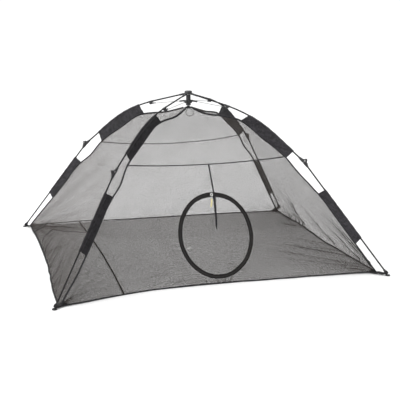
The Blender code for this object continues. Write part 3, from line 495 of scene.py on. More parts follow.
def upper_rod_line():
    a, b = np.array(HUB_PIVOT), np.array(ELBOW)
    u = np.linspace(0, 1, 400)
    x = np.clip((u - 0.2) / 0.6, 0, 1)
    slope = np.radians(14.0 + (39.0 - 14.0) * x * x * (3 - 2 * x))
    d = np.stack([np.cos(slope), -np.sin(slope)], 1)
    p = np.concatenate([[[0, 0]], np.cumsum((d[1:] + d[:-1]) / 2, axis=0)]) / (len(u) - 1)
    end, want = p[-1], b - a
    k = np.hypot(*want) / np.hypot(*end)
    ang = math.atan2(want[1], want[0]) - math.atan2(end[1], end[0])
    rot = np.array([[math.cos(ang), -math.sin(ang)], [math.sin(ang), math.cos(ang)]])
    return a + k * p @ rot.T


UPPER = upper_rod_line()


def on_upper(r):
    z = np.interp(r, UPPER[:, 0], UPPER[:, 1])
    d = np.array([0.004, np.interp(r + 0.004, UPPER[:, 0], UPPER[:, 1]) - z])
    return np.array([r, z]), d / np.linalg.norm(d)


_, HUB_DIR = on_upper(HUB_PIVOT[0] + 0.001)
KNEE_UP = UPPER[-1] - UPPER[-8]
KNEE_UP = KNEE_UP / np.linalg.norm(KNEE_UP)
LOW_DIR = np.array(FOOT_AXIS_END) - np.array(ELBOW)
LOW_DIR = LOW_DIR / np.linalg.norm(LOW_DIR)
KNEE_DIR = (KNEE_UP + LOW_DIR) / np.linalg.norm(KNEE_UP + LOW_DIR)
KNEE_OUT = np.array([-KNEE_DIR[1], KNEE_DIR[0]])
KNEE_PIN = np.array(ELBOW) + KNEE_OUT * 0.0120


def sweep(points, section, closed=False, caps=True, ups=None):
    """Moves a section, given as (across, up) pairs or one such list per point, along a line.
    Returns verts, faces, and the cloth coordinates (round, along)."""
    pts = np.asarray(points, float)
    n = len(pts)
    if closed:
        tang = np.roll(pts, -1, 0) - np.roll(pts, 1, 0)
    else:
        tang = np.gradient(pts, axis=0)
    tang /= np.linalg.norm(tang, axis=1)[:, None]
    if ups is None:
        ups = np.tile([0.0, 0.0, 1.0], (n, 1))
    ups = np.asarray(ups, float)
    side = np.cross(tang, ups)
    side /= np.linalg.norm(side, axis=1)[:, None]
    ups = np.cross(side, tang)
    sections = np.asarray(section, float)
    if sections.ndim == 2:
        sections = np.tile(sections, (n, 1, 1))
    k = sections.shape[1]
    verts = pts[:, None] + side[:, None] * sections[:, :, :1] + ups[:, None] * sections[:, :, 1:2]
    step = np.linalg.norm(np.diff(pts, axis=0), axis=1)
    along = np.concatenate([[0], np.cumsum(step)])
    edge = np.linalg.norm(np.diff(sections[0], axis=0), axis=1)
    around = np.concatenate([[0], np.cumsum(edge)])
    coords = np.stack([np.tile(around, (n, 1)), np.tile(along[:, None], (1, k)), np.ones((n, k))], 2)
    faces = []
    for i in range(n if closed else n - 1):
        a, b = i * k, ((i + 1) % n) * k
        faces += [(a + j, a + (j + 1) % k, b + (j + 1) % k, b + j) for j in range(k)]
    if caps and not closed:
        faces += [tuple(range(k))[::-1], tuple((n - 1) * k + j for j in range(k))]
    return verts.reshape(-1, 3), faces, coords.reshape(-1, 3)


def ring_section(radius, sides=12):
    return [(radius * math.cos(math.tau * i / sides), radius * math.sin(math.tau * i / sides)) for i in range(sides)]


def flat_section(width, height, sides=8):
    """A tape's section with rounded edges, lying flat."""
    w, h = width / 2, height / 2
    return [(w, -h * 0.4), (w, h * 0.4), (w * 0.8, h), (-w * 0.8, h), (-w, h * 0.4), (-w, -h * 0.4), (-w * 0.8, -h), (w * 0.8, -h)]


def made(verts, faces, coords=None, name="shape"):
    mesh = bpy.data.meshes.new(name)
    mesh.from_pydata([tuple(v) for v in verts], [], [tuple(f) for f in faces])
    if coords is not None:
        cloth_attribute(mesh, coords)
    return mesh


def fix_normals(mesh):
    bm = bmesh.new()
    bm.from_mesh(mesh)
    bmesh.ops.recalc_face_normals(bm, faces=bm.faces)
    bm.to_mesh(mesh)
    bm.free()
    return mesh


# ================================================================ the cabin
CELLS = 10           # grid columns in each gore
GORES = {"right": 12, "rear": 14, "left": 12, "front": 14}
UP_ROWS, LOW_ROWS, FLOOR_ROWS = 30, 64, 34
# the cabin's foot as it stands: along the side, how far out, and how far the binding is lifted
CORNER_AT = {"A": (-0.887, 0.790, 0.010), "B": (-0.889, -0.787, 0.003), "C": (0.877, -0.765, 0.005), "D": (0.869, 0.728, 0.002)}
OUTLINE = {
    "rear": [(-0.69, 0.800, 0.009), (-0.58, 0.802, 0.009), (-0.478, 0.800, 0.007), (-0.308, 0.793, 0.002), (-0.13, 0.790, 0), (0, 0.783, 0),
             (0.25, 0.772, 0), (0.484, 0.757, 0), (0.64, 0.741, 0), (0.80, 0.727, 0)],
    "right": [(0.870, 0.49, 0), (0.881, 0.346, 0), (0.872, 0.125, 0), (0.864, -0.116, 0), (0.873, -0.297, 0.001), (0.875, -0.492, 0.002), (0.879, -0.622, 0.003)],
    "front": [(0.836, -0.748, 0.004), (0.671, -0.724, 0.002), (0.503, -0.708, 0.001), (0.337, -0.697, 0), (0.174, -0.687, 0), (0.015, -0.676, 0),
              (-0.18, -0.671, 0), (-0.355, -0.673, 0), (-0.461, -0.686, 0), (-0.552, -0.703, 0), (-0.669, -0.733, 0.001), (-0.802, -0.768, 0.002)],
    "left": [(-0.899, -0.714, 0.001), (-0.895, -0.52, 0.001), (-0.878, -0.198, 0), (-0.869, 0.095, 0), (-0.870, 0.369, 0), (-0.879, 0.606, 0.004)]}
ENDS = {"rear": "DA", "left": "AB", "front": "BC", "right": "CD"}      # corners at u = -1 and u = +1
LEAN = {"A": 0.0, "B": 0.016, "C": 0.0, "D": 0.0}                      # the edge beside a pole stands this far out of the pole's plane
# and this much higher, against r, towards the peak
RISE = {"A": [(0, 0), (0.10, 0.003), (0.22, 0.004), (0.40, 0)], "B": [(0, 0), (0.12, -0.004), (0.24, 0.003), (0.40, 0)],
        "C": [(0, 0), (0.10, -0.004), (0.20, 0.010), (0.34, 0.007), (0.48, 0), (0.60, 0), (0.69, 0.006), (0.785, -0.010), (0.8129, -0.006), (0.86, 0)], "D": [(0, 0), (0.12, 0.004), (0.22, -0.002), (0.35, -0.007), (0.52, 0)]}


def rise(name, r):
    return np.interp(r, *zip(*RISE[name]))


def wall_surface(side, zone, v, u):
    """Points of a wall before wrinkles, as arrays. zone 0: peak to cross seam; zone 1: seam to ground."""
    lateral, outward = (CX, CY) if side in ("front", "rear") else (CY, CX)
    seam_out, ground_out = MIDDLES[side]
    seam_z = SEAM_MID_Z - (0.014 if side == "rear" else 0.0)
    if zone == 0:
        r = SEAM_R * v
        zr = ridge_height(r)
        zm = PEAK_Z + (seam_z - PEAK_Z) * v + (0.052 if side in ("left", "right") else -0.006) * np.sin(math.pi * v)
        out_mid = seam_out * v
    else:
        zr = SEAM_Z + (WALL_LOW - SEAM_Z) * v
        r = ridge_reach(zr)
        zm = seam_z + (WALL_LOW - seam_z) * v
        out_mid = seam_out + (ground_out - seam_out) * v
    half = lateral * r
    x = u * half
    z = zm + (zr - zm) * u * u
    if zone == 0:
        out = out_mid + (outward * r - out_mid) * u * u
    elif side != "front":
        power = 2.0 + 0.4 * smoothstep(v, 0, 0.25)
        out = out_mid + (outward * r - out_mid) * np.abs(u) ** power - 0.010 * np.sin(math.pi * v) * (1 - u * u)
    else:
        drop = (ground_out - seam_out) / SEAM_MID_Z
        plane = seam_out + drop * (SEAM_MID_Z - z)
        edge_plane = seam_out + drop * (SEAM_MID_Z - zr)
        w = np.maximum(0.0, (np.abs(x) - FLAT_HALF) / np.maximum(half - FLAT_HALF, 1e-6))
        out = plane + (outward * r - edge_plane) * w ** 1.5
    return x, out, z


def placed(side, x, out, z):
    x, out, z = np.broadcast_arrays(x, out, z)
    return np.stack({"front": (x, -out, z), "rear": (-x, out, z), "left": (-out, -x, z), "right": (out, x, z)}[side], -1)


def grid_normals(p):
    du = np.gradient(p, axis=1)
    dv = np.gradient(p, axis=0)
    n = np.cross(du, dv)
    return n / np.maximum(np.linalg.norm(n, axis=2), 1e-12)[..., None]


def settled(side, p, u):
    """Moves a wall from its plain form to how it stands: its foot on the outline, and its edges leaning beside the poles."""
    p = p.copy()
    first, last = (CORNER_AT[k] for k in ENDS[side])
    table = sorted([first, last] + OUTLINE[side], key=lambda q: q[0] if side in ("front", "rear") else q[1])
    keys = [q[0] if side in ("front", "rear") else q[1] for q in table]
    out = pchip(keys, [q[1] if side in ("front", "rear") else q[0] for q in table])
    lift = pchip(keys, [q[2] for q in table])
    foot = p[-1].copy()
    a, b = (np.array([first[0], first[1]]), np.array([last[0], last[1]]))
    along = (foot[:, 0] - foot[0, 0]) / (foot[-1, 0] - foot[0, 0]) if side in ("front", "rear") else (foot[:, 1] - foot[0, 1]) / (foot[-1, 1] - foot[0, 1])
    target = a + (b - a) * along[:, None]
    if side in ("front", "rear"):
        target[:, 1] = out(target[:, 0])
        high = lift(target[:, 0])
    else:
        target[:, 0] = out(target[:, 1])
        high = lift(target[:, 1])
    ripple = 0.0012 * np.sin(31 * along + 4 * np.sin(9 * along)) * np.sin(math.pi * along)
    delta = np.concatenate([target - foot[:, :2], (high + np.abs(ripple) * 0.8)[:, None]], 1)
    delta[:, 1 if side in ("front", "rear") else 0] += ripple * 1.6
    weight = (1 - smoothstep(p[..., 2], 0.0, 0.42)) ** 1.6
    p += weight[..., None] * delta[None]
    for sign, name in zip((-1, 1), ENDS[side]):
        edge = p[:, 0 if sign < 0 else -1]
        up_ = rise(name, np.hypot(edge[:, 0], edge[:, 1]))
        p[..., 2] += np.clip(sign * u, 0, 1) ** 2 * up_[:, None]
        if LEAN[name]:
            sideways = np.array([-math.sin(AZIMUTH[name]), math.cos(AZIMUTH[name]), 0])
            near = np.clip(sign * u, 0, 1) ** 6 * smoothstep(p[..., 2], 0.02, 0.16) * (1 - smoothstep(p[..., 2], 0.50, 0.64))
            p += (near * LEAN[name])[..., None] * sideways
    return p


def creases_of(side, u, t, x, z):
    """Height of the wrinkles on a wall. u runs across, t is height above the ground and x the distance across."""
    h = 0.0016 * np.sin(7.3 * x + 3.1 * z + 0.6) * np.sin(5.1 * z - 2.3 * x) + 0.0010 * np.sin(17 * x + 6 * np.sin(4 * z))
    lateral = CX if side in ("front", "rear") else CY
    for end in (-1, 1):
        cx = end * lateral * 1.179
        dx, dz = (x - cx) * -end, z                     # dx runs inwards along the ground from this corner
        d = np.hypot(dx, dz) + 1e-6
        a = np.arctan2(dz, dx)                          # 0 along the ground
        strength, reach, count = CORNERS[side, end]
        env = (d / reach) * np.exp(1 - d / reach) * smoothstep(d, 0.02, 0.08)
        h = h + strength * env * np.sin(count * a + 0.8 * end + 1.7 * np.sin(3 * a)) * smoothstep(1.25 - a, 0, 0.35)
    for a3, b3, width, strength in {"left": LEFT_FOLDS, "right": RIGHT_FOLDS}.get(side, ()):
        turn_ = -1 if side == "left" else 1
        a, b = np.array([turn_ * a3[1], a3[2]]), np.array([turn_ * b3[1], b3[2]])
        ab = b - a
        k = np.clip(((x - a[0]) * ab[0] + (z - a[1]) * ab[1]) / (ab @ ab), 0, 1)
        dist = np.hypot(x - a[0] - k * ab[0], z - a[1] - k * ab[1])
        h = h + 0.012 * min(strength, 1.0) * np.exp(-(dist / 0.014) ** 2) * (0.25 + 0.75 * k)
    return h


# strength, reach and number of the folds that fan out of each lower corner, end -1 and +1 across each wall
CORNERS = {("front", -1): (0.0033, 0.11, 16), ("front", 1): (0.0030, 0.11, 20), ("right", -1): (0.0036, 0.16, 20),
           ("right", 1): (0.0075, 0.22, 14), ("rear", -1): (0.0014, 0.12, 16), ("rear", 1): (0.0026, 0.14, 16),
           ("left", -1): (0.0095, 0.34, 17), ("left", 1): (0.0055, 0.20, 15)}


def wall_arrays(side):
    n = GORES[side] * CELLS + 1
    u = np.linspace(-1, 1, n)
    rows, zones = [], []
    for zone, vs in ((0, np.linspace(0.020, 1, UP_ROWS)), (1, np.linspace(0, 1, LOW_ROWS + 1)[1:])):
        for v in vs:
            rows.append(placed(side, *wall_surface(side, zone, v, u)))
            zones.append((zone, v))
    p = np.array(rows)
    uu = np.tile(u, (len(rows), 1))
    p = settled(side, p, uu)
    across = p[..., 0] if side in ("front", "rear") else p[..., 1]
    across = {"front": across, "rear": -across, "left": -across, "right": across}[side]
    h = creases_of(side, uu, p[..., 2], across, p[..., 2])
    # wrinkles die out at the ridges, the ground, the peak and round the port
    quiet = smoothstep(1 - np.abs(uu), 0, 0.05) * smoothstep(p[..., 2], GROUND, 0.03) * smoothstep(PEAK_Z - p[..., 2], 0.01, 0.10)
    if side == "front":
        q = p - np.array(PORT_CENTRE)
        s = q @ np.array(SLOPE_UP)
        rho = np.hypot(q[..., 0] / (PORT_A + 0.01), s / (PORT_B + 0.01))
        quiet = quiet * smoothstep(rho, 1.02, 1.28)
    h = h * quiet
    p[-1, :, 2] = np.maximum(p[-1, :, 2] - WALL_LOW + GROUND, GROUND)
    normal = grid_normals(p)
    if np.sum(normal[len(p) // 2, n // 2] * placed(side, 0.0, 1.0, 0.0)) < 0:
        normal = -normal
    out = p + normal * h[..., None]
    # how much denser the net looks where a fold stands on edge
    gy = np.gradient(h, axis=0) / np.maximum(np.linalg.norm(np.gradient(p, axis=0), axis=2), 1e-6)
    gx = np.gradient(h, axis=1) / np.maximum(np.linalg.norm(np.gradient(p, axis=1), axis=2), 1e-6)
    steep = np.hypot(gx, gy)
    return {"p": out, "u": uu, "across": across, "steep": steep, "zones": zones}


def metric(p):
    along = np.zeros(p.shape[:2])
    along[1:] = np.cumsum(np.linalg.norm(np.diff(p, axis=0), axis=2), axis=0)
    return along


def at_corners(p):
    """The corners are reinforced and gathered, so they are solid."""
    extra = 0.0
    for c in CORNER_AT.values():
        d = np.hypot((p[..., 0] - c[0]) * 0.8, p[..., 1] - c[1]) + 0.6 * p[..., 2]
        extra = extra + 2.4 * (1 - smoothstep(d, 0.022, 0.048)) + 0.16 * (1 - smoothstep(d, 0.03, 0.13))
    return extra


def densities(side, w):
    p = w["p"]
    z = p[..., 2]
    dense = 1.0 + np.minimum((2.4 if side in ("front", "rear") else 1.5) * w["steep"], 0.9)
    if side == "left":
        dense = dense * (1 - 0.16 * smoothstep(z, 0.40, 0.62) + 0.04 * smoothstep(0.34 - z, 0.0, 0.20))
        dense = dense + 0.10 * np.exp(-((p[..., 1] - 0.14) / 0.16) ** 2 - (z / 0.10) ** 2)
    if side == "right":
        dense = dense * (1 + 0.08 * smoothstep(0.50 - z, 0.0, 0.20) - 0.14 * smoothstep(0.26 - z, 0.0, 0.20))
    return dense + at_corners(p)


def floor_arrays(side, ground):
    """From the wall's foot to the middle of the floor."""
    s = np.linspace(1, 0, FLOOR_ROWS + 1)[1:] ** 1.15
    s = np.concatenate([s[:-1], [0.012]])
    p = ground[None, :, :] * s[:, None, None]
    x, y = p[..., 0], p[..., 1]
    h = 0.0012 + 0.0010 * np.sin(9 * x + 2 * np.sin(5 * y)) * np.sin(7 * y + 1.0) + 0.0006 * np.sin(31 * x - 12 * y)
    for (sx, sy, _), strength, count in ((CORNER_AT["A"], 0.0080, 26), (CORNER_AT["C"], 0.0048, 30), (CORNER_AT["B"], 0.0032, 22),
                                         (CORNER_AT["D"], 0.0042, 22)):
        dx, dy = x - sx, y - sy
        d, a = np.hypot(dx, dy) + 1e-6, np.arctan2(dy, dx)
        env = (d / 0.16) * np.exp(1 - d / 0.16)
        h = h + strength * env * (0.5 + 0.5 * np.sin(count * a))
    for a, b, width, strength in FLOOR_FOLDS:
        a, b = np.array(a[:2]), np.array(b[:2])
        ab = b - a
        k = np.clip(((x - a[0]) * ab[0] + (y - a[1]) * ab[1]) / (ab @ ab), 0, 1)
        dist = np.hypot(x - a[0] - k * ab[0], y - a[1] - k * ab[1])
        h = h + 0.006 * min(strength, 0.9) * np.exp(-(dist / 0.011) ** 2) * (0.3 + 0.7 * k)
    edge = smoothstep(1 - s[:, None] * np.ones_like(x), 0.0, 0.04)
    h = np.maximum(h * edge, 0.0)
    g = np.gradient(h, axis=1) / np.maximum(np.linalg.norm(np.gradient(p, axis=1), axis=2), 1e-5)
    p = p.copy()
    p[..., 2] = GROUND + h + (ground[None, :, 2] - GROUND) * (1 - smoothstep(1 - s[:, None], 0.0, 0.12))
    # the floor's net is denser where its folds slope, and denser towards the right and away from the front hem: painted
    # shade
    shade = 1.0 + np.minimum(1.0 * np.abs(g), 0.24) + 0.20 * smoothstep(x, -0.1, 0.75) * smoothstep(y, -0.75, -0.2)
    return p, shade + at_corners(p)


def port_rho(p):
    q = p - np.array(PORT_CENTRE)
    return q[..., 0] / PORT_A, (q @ np.array(SLOPE_UP)) / PORT_B, q @ np.array(SLOPE_OUT)


def cut_port(p):
    """Snaps grid points to the port's oval. Returns the grid and each point's state: -1 inside, 0 on it, 1 outside."""
    p = p.copy()
    a, b, n = port_rho(p)
    rho = np.hypot(a, b)
    near = np.abs(n) < 0.05
    state = np.where(near & (rho < 1), -1, 1)
    rows, cols = state.shape
    for _ in range(4):
        moved = False
        for i in range(rows):
            for j in range(cols):
                for di, dj in ((0, 1), (1, 0)):
                    k, m = i + di, j + dj
                    if k < rows and m < cols and state[i, j] * state[k, m] == -1:
                        c, d = (i, j), (k, m)
                        c = c if abs(rho[c] - 1) < abs(rho[d] - 1) else d
                        state[c] = 0
                        q = np.array(PORT_CENTRE) + np.array([1.0, 0, 0]) * (a[c] / rho[c] * PORT_A) \
                            + np.array(SLOPE_UP) * (b[c] / rho[c] * PORT_B)
                        p[c] = q
                        moved = True
        if not moved:
            break
    return p, state


def quads(rows, cols, state=None):
    faces = []
    for i in range(rows - 1):
        for j in range(cols - 1):
            f = [(i, j), (i, j + 1), (i + 1, j + 1), (i + 1, j)]
            if state is None:
                faces.append(f)
                continue
            s = [state[c] for c in f]
            if -1 not in s:
                if all(v == 0 for v in s):
                    continue
                faces.append(f)
            elif 1 in s and s.count(0) == 2 and s[0] == s[2] == 0:
                faces.append([f[0], f[1], f[2]] if s[1] == 1 else [f[0], f[2], f[3]])
            elif 1 in s and s.count(0) == 2 and s[1] == s[3] == 0:
                faces.append([f[1], f[2], f[3]] if s[2] == 1 else [f[0], f[1], f[3]])
    return faces


SEAM_ROW = UP_ROWS - 1


def strip(points, ups, width, height):
    height = np.broadcast_to(height, len(points))
    return sweep(points, [flat_section(width, h) for h in height], ups=ups, caps=True)


walls, gores = {}, []
for side in GORES:
    walls[side] = wall_arrays(side)
    walls[side]["dense"] = densities(side, walls[side])
walls["front"]["p"], walls["front"]["state"] = cut_port(walls["front"]["p"])


def make_gore(side, k):
    w = walls[side]
    c0, c1 = k * CELLS, (k + 1) * CELLS
    p = w["p"][:, c0:c1 + 1]
    state = w.get("state")
    state = None if state is None else state[:, c0:c1 + 1]
    across, dense = w["across"][:, c0:c1 + 1], w["dense"][:, c0:c1 + 1]
    along = metric(w["p"])[:, c0:c1 + 1]
    rows, cols = p.shape[:2]
    verts = [tuple(v) for v in p.reshape(-1, 3)]
    coords = [(a, b, d) for a, b, d in zip(across.ravel(), along.ravel(), dense.ravel())]
    # mesh: wall
    faces, mats = [], []
    for f in quads(rows, cols, state):
        faces.append([i * cols + j for i, j in f])
        mats.append(0)
    # mesh: floor wedge, sharing the wall's foot
    fp, fd = floor_arrays(side, p[-1])
    base = len(verts)
    verts += [tuple(v) for v in fp.reshape(-1, 3)]
    coords += [(v[0] + 5.0, v[1], d) for v, d in zip(fp.reshape(-1, 3), fd.ravel())]
    foot = (rows - 1) * cols
    for j in range(cols - 1):
        faces.append([foot + j, foot + j + 1, base + j + 1, base + j])
        mats.append(2)
    for i in range(fp.shape[0] - 1):
        for j in range(cols - 1):
            a = base + i * cols + j
            faces.append([a, a + 1, a + cols + 1, a + cols])
            mats.append(2)
    used = sorted({i for f in faces for i in f})
    index = {v: i for i, v in enumerate(used)}
    verts = [verts[i] for i in used]
    coords = [coords[i] for i in used]
    faces = [[index[i] for i in f] for f in faces]
    # tapes: the ones on this gore
    for points, ups, width, height in tapes_on(side, k, p, state):
        v, f, c = strip(points, ups, width, height)
        base = len(verts)
        verts += [tuple(q) for q in v]
        coords += [tuple(q) for q in c]
        faces += [[base + i for i in g] for g in f]
        mats += [1] * len(f)
    mesh = made(verts, faces, coords, f"cabin_{side}_{k:02d}")
    mesh.polygons.foreach_set("material_index", mats)
    rest = mesh.attributes.new("rest", "FLOAT_VECTOR", "POINT")
    rest.data.foreach_set("vector", np.asarray(verts, np.float32).ravel())
    net = {"left": NET_LEFT, "right": NET_RIGHT, "front": NET_FRONT, "rear": NET_REAR}[side]
    o = add(mesh, f"cabin_{side}_{k:02d}", [net, WEBBING, NET_FLOOR], "cabin", 0)
    width = float(np.linalg.norm(np.diff(p[-1], axis=0), axis=1).sum())
    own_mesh(o)
    return o


def tapes_on(side, k, p, state):
    """Edge binding, ridge tape, cross seams and the tape down to the port, where they lie on this gore."""
    found = []
    rows, cols = p.shape[:2]
    up = np.tile([0.0, 0.0, 1.0], (cols, 1))
    # the binding along the foot
    foot = p[-1].copy()
    rough = 0.5 + 0.5 * np.sin(61 * foot[:, 0] + 1.3) * np.sin(143 * foot[:, 0])
    if side == "front":
        # the binding is puckered under the port
        rough = rough + 1.5 * (0.5 + 0.5 * np.sin(118 * foot[:, 0] + 2 * np.sin(37 * foot[:, 0]))) * smoothstep(foot[:, 0], -0.34, -0.12) * (1 - smoothstep(foot[:, 0], 0.05, 0.20))
    foot[:, 2] += 0.0016 + 0.0008 * rough
    found.append((foot, up, 0.0095, 0.0036 + 0.0016 * rough))
    # the ridge on this gore's edge
    if k == GORES[side] - 1:
        edge = p[:, -1]
        tangent = np.gradient(edge, axis=0)
        name = ENDS[side][1]
        sideways = np.array([-math.sin(AZIMUTH[name]), math.cos(AZIMUTH[name]), 0])
        n = np.cross(tangent, sideways)
        n /= np.linalg.norm(n, axis=1)[:, None]
        n *= np.sign(n[:, 2:3] + 1e-9)
        r = np.hypot(edge[1:, 0], edge[1:, 1])
        found.append((edge[1:], n[1:], 0.0088, 0.0062 + 0.0036 * (1 - smoothstep(r, 0.30, 0.42))))
    if side in ("front", "rear"):
        n = grid_normals(p)[SEAM_ROW]
        found.append((p[SEAM_ROW], n, 0.0062, 0.0018))
    if side == "front" and k == 6:
        # the tape from the cross seam down to the port
        s = np.linspace(0.667, PORT_S + PORT_B + 0.004, 30)
        line = np.array([(0.0115 - 0.0100 * (v - 0.5) / 0.167, 0, 0) + np.array([0, -MIDDLES["front"][1], 0]) + np.array(SLOPE_UP) * v
                         + np.array(SLOPE_OUT) * 0.0015 for v in s])
        found.append((line, np.tile(np.array(SLOPE_OUT), (30, 1)), 0.0085, 0.0018))
    return found


for side, count in GORES.items():
    for k in range(count):
        gores.append(make_gore(side, k))
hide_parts("front_wall", "rear_wall", "left_wall", "right_wall", "floor")


# ---------------------------------------------------------------- peak: a round patch where the four ridges meet, with a short neck up to the tube
def ring_wave(x, y, count, size):
    return size * math.sin(count * math.atan2(y, x))


def peak_patch():
    rows = []
    for r, z in ((0.0, 0.8850), (0.0050, 0.8850), (0.0072, 0.8846), (0.0078, 0.8826), (0.0098, 0.8812), (0.0190, 0.8770), (0.0290, 0.8722)):
        rows.append([(r * math.cos(a), r * math.sin(a), z + ring_wave(math.cos(a), math.sin(a), 4, 0.03 * r) + ring_wave(math.cos(a), math.sin(a), 17, 0.012 * r))
                     for a in np.linspace(0, math.tau, 48, endpoint=False)])
    verts = [p for row in rows for p in row]
    faces = [(i * 48 + j, i * 48 + (j + 1) % 48, (i + 1) * 48 + (j + 1) % 48, (i + 1) * 48 + j) for i in range(len(rows) - 1) for j in range(48)]
    mesh = made(verts, faces, [(math.hypot(v[0], v[1]) * 1.0, math.atan2(v[1], v[0]) * 0.02, 1) for v in verts], "peak_patch")
    bm = bmesh.new()
    bm.from_mesh(mesh)
    bmesh.ops.remove_doubles(bm, verts=bm.verts, dist=1e-6)
    bmesh.ops.recalc_face_normals(bm, faces=bm.faces)
    bm.to_mesh(mesh)
    bm.free()
    o = add(mesh, "peak_patch", WEBBING, "cabin", 50)
    return o


peak_patch()

# ================================================================ the port
PORT_FRAME = Matrix.Translation(PORT_CENTRE) @ Matrix((
    (1, SLOPE_OUT.x, SLOPE_UP.x, 0), (0, SLOPE_OUT.y, SLOPE_UP.y, 0), (0, SLOPE_OUT.z, SLOPE_UP.z, 0), (0, 0, 0, 1)))


def on_port(x, s, n=0.0):
    return np.array(PORT_CENTRE) + np.array([1.0, 0, 0]) * x + np.array(SLOPE_UP) * s + np.array(SLOPE_OUT) * n


def oval_line(a, b, n, count=160):
    return np.array([on_port(a * math.cos(t), b * math.sin(t), n) for t in np.linspace(0, math.tau, count, endpoint=False)])


def joined(parts, name):
    """Several (verts, faces, coords, material index) as one mesh."""
    verts, faces, coords, mats = [], [], [], []
    for v, f, c, m in parts:
        base = len(verts)
        verts += [tuple(q) for q in v]
        coords += [tuple(q) for q in c]
        faces += [tuple(base + i for i in g) for g in f]
        mats += [m] * len(f)
    mesh = made(verts, faces, coords, name)
    mesh.polygons.foreach_set("material_index", mats)
    return fix_normals(mesh)


def port_band():
    parts = []
    ups = np.tile(np.array(SLOPE_OUT), (160, 1))
    band = [(0.0116, -0.0006), (0.0116, 0.0006), (0.0106, 0.0013), (0.0046, 0.0018), (0.0036, 0.0011), (-0.0036, 0.0011),
            (-0.0046, 0.0018), (-0.0106, 0.0013), (-0.0116, 0.0006), (-0.0116, -0.0006), (-0.0104, -0.0013), (0.0104, -0.0013)]
    line = oval_line(PORT_A, PORT_B, 0.0)
    turns = np.linspace(0, math.tau, 160, endpoint=False)
    inward = np.sign(np.cross(line[1] - line[-1], ups[0]) @ (np.array(PORT_CENTRE) - line[0]))
    sections = []
    for t in turns:
        top = math.exp(-((t - math.pi / 2) / 0.62) ** 2)
        uneven = 0.0007 * math.sin(5 * t + 0.6) + 0.0005 * math.sin(11 * t)
        row = []
        for a, b in band:
            inner = a * inward > 0
            row.append((a + inward * ((0.0052 * top + uneven) if inner else (0.0022 * top + 0.5 * uneven)), b))
        sections.append(row)
    v, f, c = sweep(line, sections, closed=True, ups=ups)
    parts.append((v, f, c, 0))
    # the zip's coil in the band's groove
    coil = []
    for i in range(1500):
        t = math.tau * i / 1500
        turn_ = math.tau * i / 5
        radius = 0.0011
        coil.append(on_port((PORT_A + radius * math.cos(turn_)) * math.cos(t), (PORT_B + radius * math.cos(turn_)) * math.sin(t),
                            0.0014 + 0.0005 * math.sin(turn_)))
    v, f, c = sweep(coil, ring_section(0.00042, 4), closed=True, ups=np.tile(np.array(SLOPE_OUT), (1500, 1)))
    parts.append((v, f, c, 1))
    # the strip of netting above the flap's hinge line
    a, b = PORT_A, PORT_B
    rows = []
    for s in np.linspace(FLAP_HINGE_S, PORT_B * 0.9995, 7):
        half = a * math.sqrt(max(1 - (s / b) ** 2, 0))
        rows.append([on_port(x, s) for x in np.linspace(-half, half, 25)])
    rows = np.array(rows)
    v = rows.reshape(-1, 3)
    f = [(i * 25 + j, i * 25 + j + 1, (i + 1) * 25 + j + 1, (i + 1) * 25 + j) for i in range(6) for j in range(24)]
    q = v - np.array(PORT_CENTRE)
    parts.append((v, f, np.stack([q[:, 0], q @ np.array(SLOPE_UP), np.ones(len(q))], 1), 2))
    o = add(joined(parts, "port_band"), "port_band", [PIPING, ZIP, NET], "port", 40)
    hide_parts("port_ring")
    return o


port_band()


def flap_cloth():
    """The door: an oval of netting from the hinge line down, slack between its edges."""
    a, b = PORT_A - 0.0035, PORT_B - 0.0035
    top = FLAP_HINGE_S - 0.0004
    n_s, n_x = 48, 48
    rows, coords = [], []
    for i, k in enumerate(np.linspace(0, 1, n_s)):
        s = top + (-b * 0.99995 - top) * k
        half = a * math.sqrt(max(1 - (s / b) ** 2, 0.0)) + 1e-4
        for u in np.linspace(-1, 1, n_x):
            x = u * half
            edge = (1 - u * u) * min(1.0, (top - s) / 0.05) * min(1.0, (s + b) / 0.05)
            n = edge * (-0.0026 + 0.0006 * math.sin(23 * x + 9 * s) + 0.0004 * math.sin(31 * s - 12 * x + 1.0) * (0.5 - 0.5 * u))
            rows.append(on_port(x, s, n - 0.0006))
            coords.append((x, s, 1.0 + 6.0 * abs(n + 0.003 * edge) * 6))
    faces = [(i * n_x + j, i * n_x + j + 1, (i + 1) * n_x + j + 1, (i + 1) * n_x + j) for i in range(n_s - 1) for j in range(n_x - 1)]
    o = add(made(rows, faces, coords, "port_flap_cloth"), "port_flap_cloth", NET, "port_flap", 0)
    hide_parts("port_flap")
    return o


flap_cloth()


def ribbon(name, line, widths, thickness, mat, body, ups, nodes=()):
    """A strap along line, with its own width at each point."""
    sections = [flat_section(w, thickness) for w in widths]
    v, f, c = sweep(line, sections, ups=ups)
    mesh = joined([(v, f, c, 0)], name)
    o = add(mesh, name, mat, body, 40)
    if nodes:
        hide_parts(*nodes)
    return o


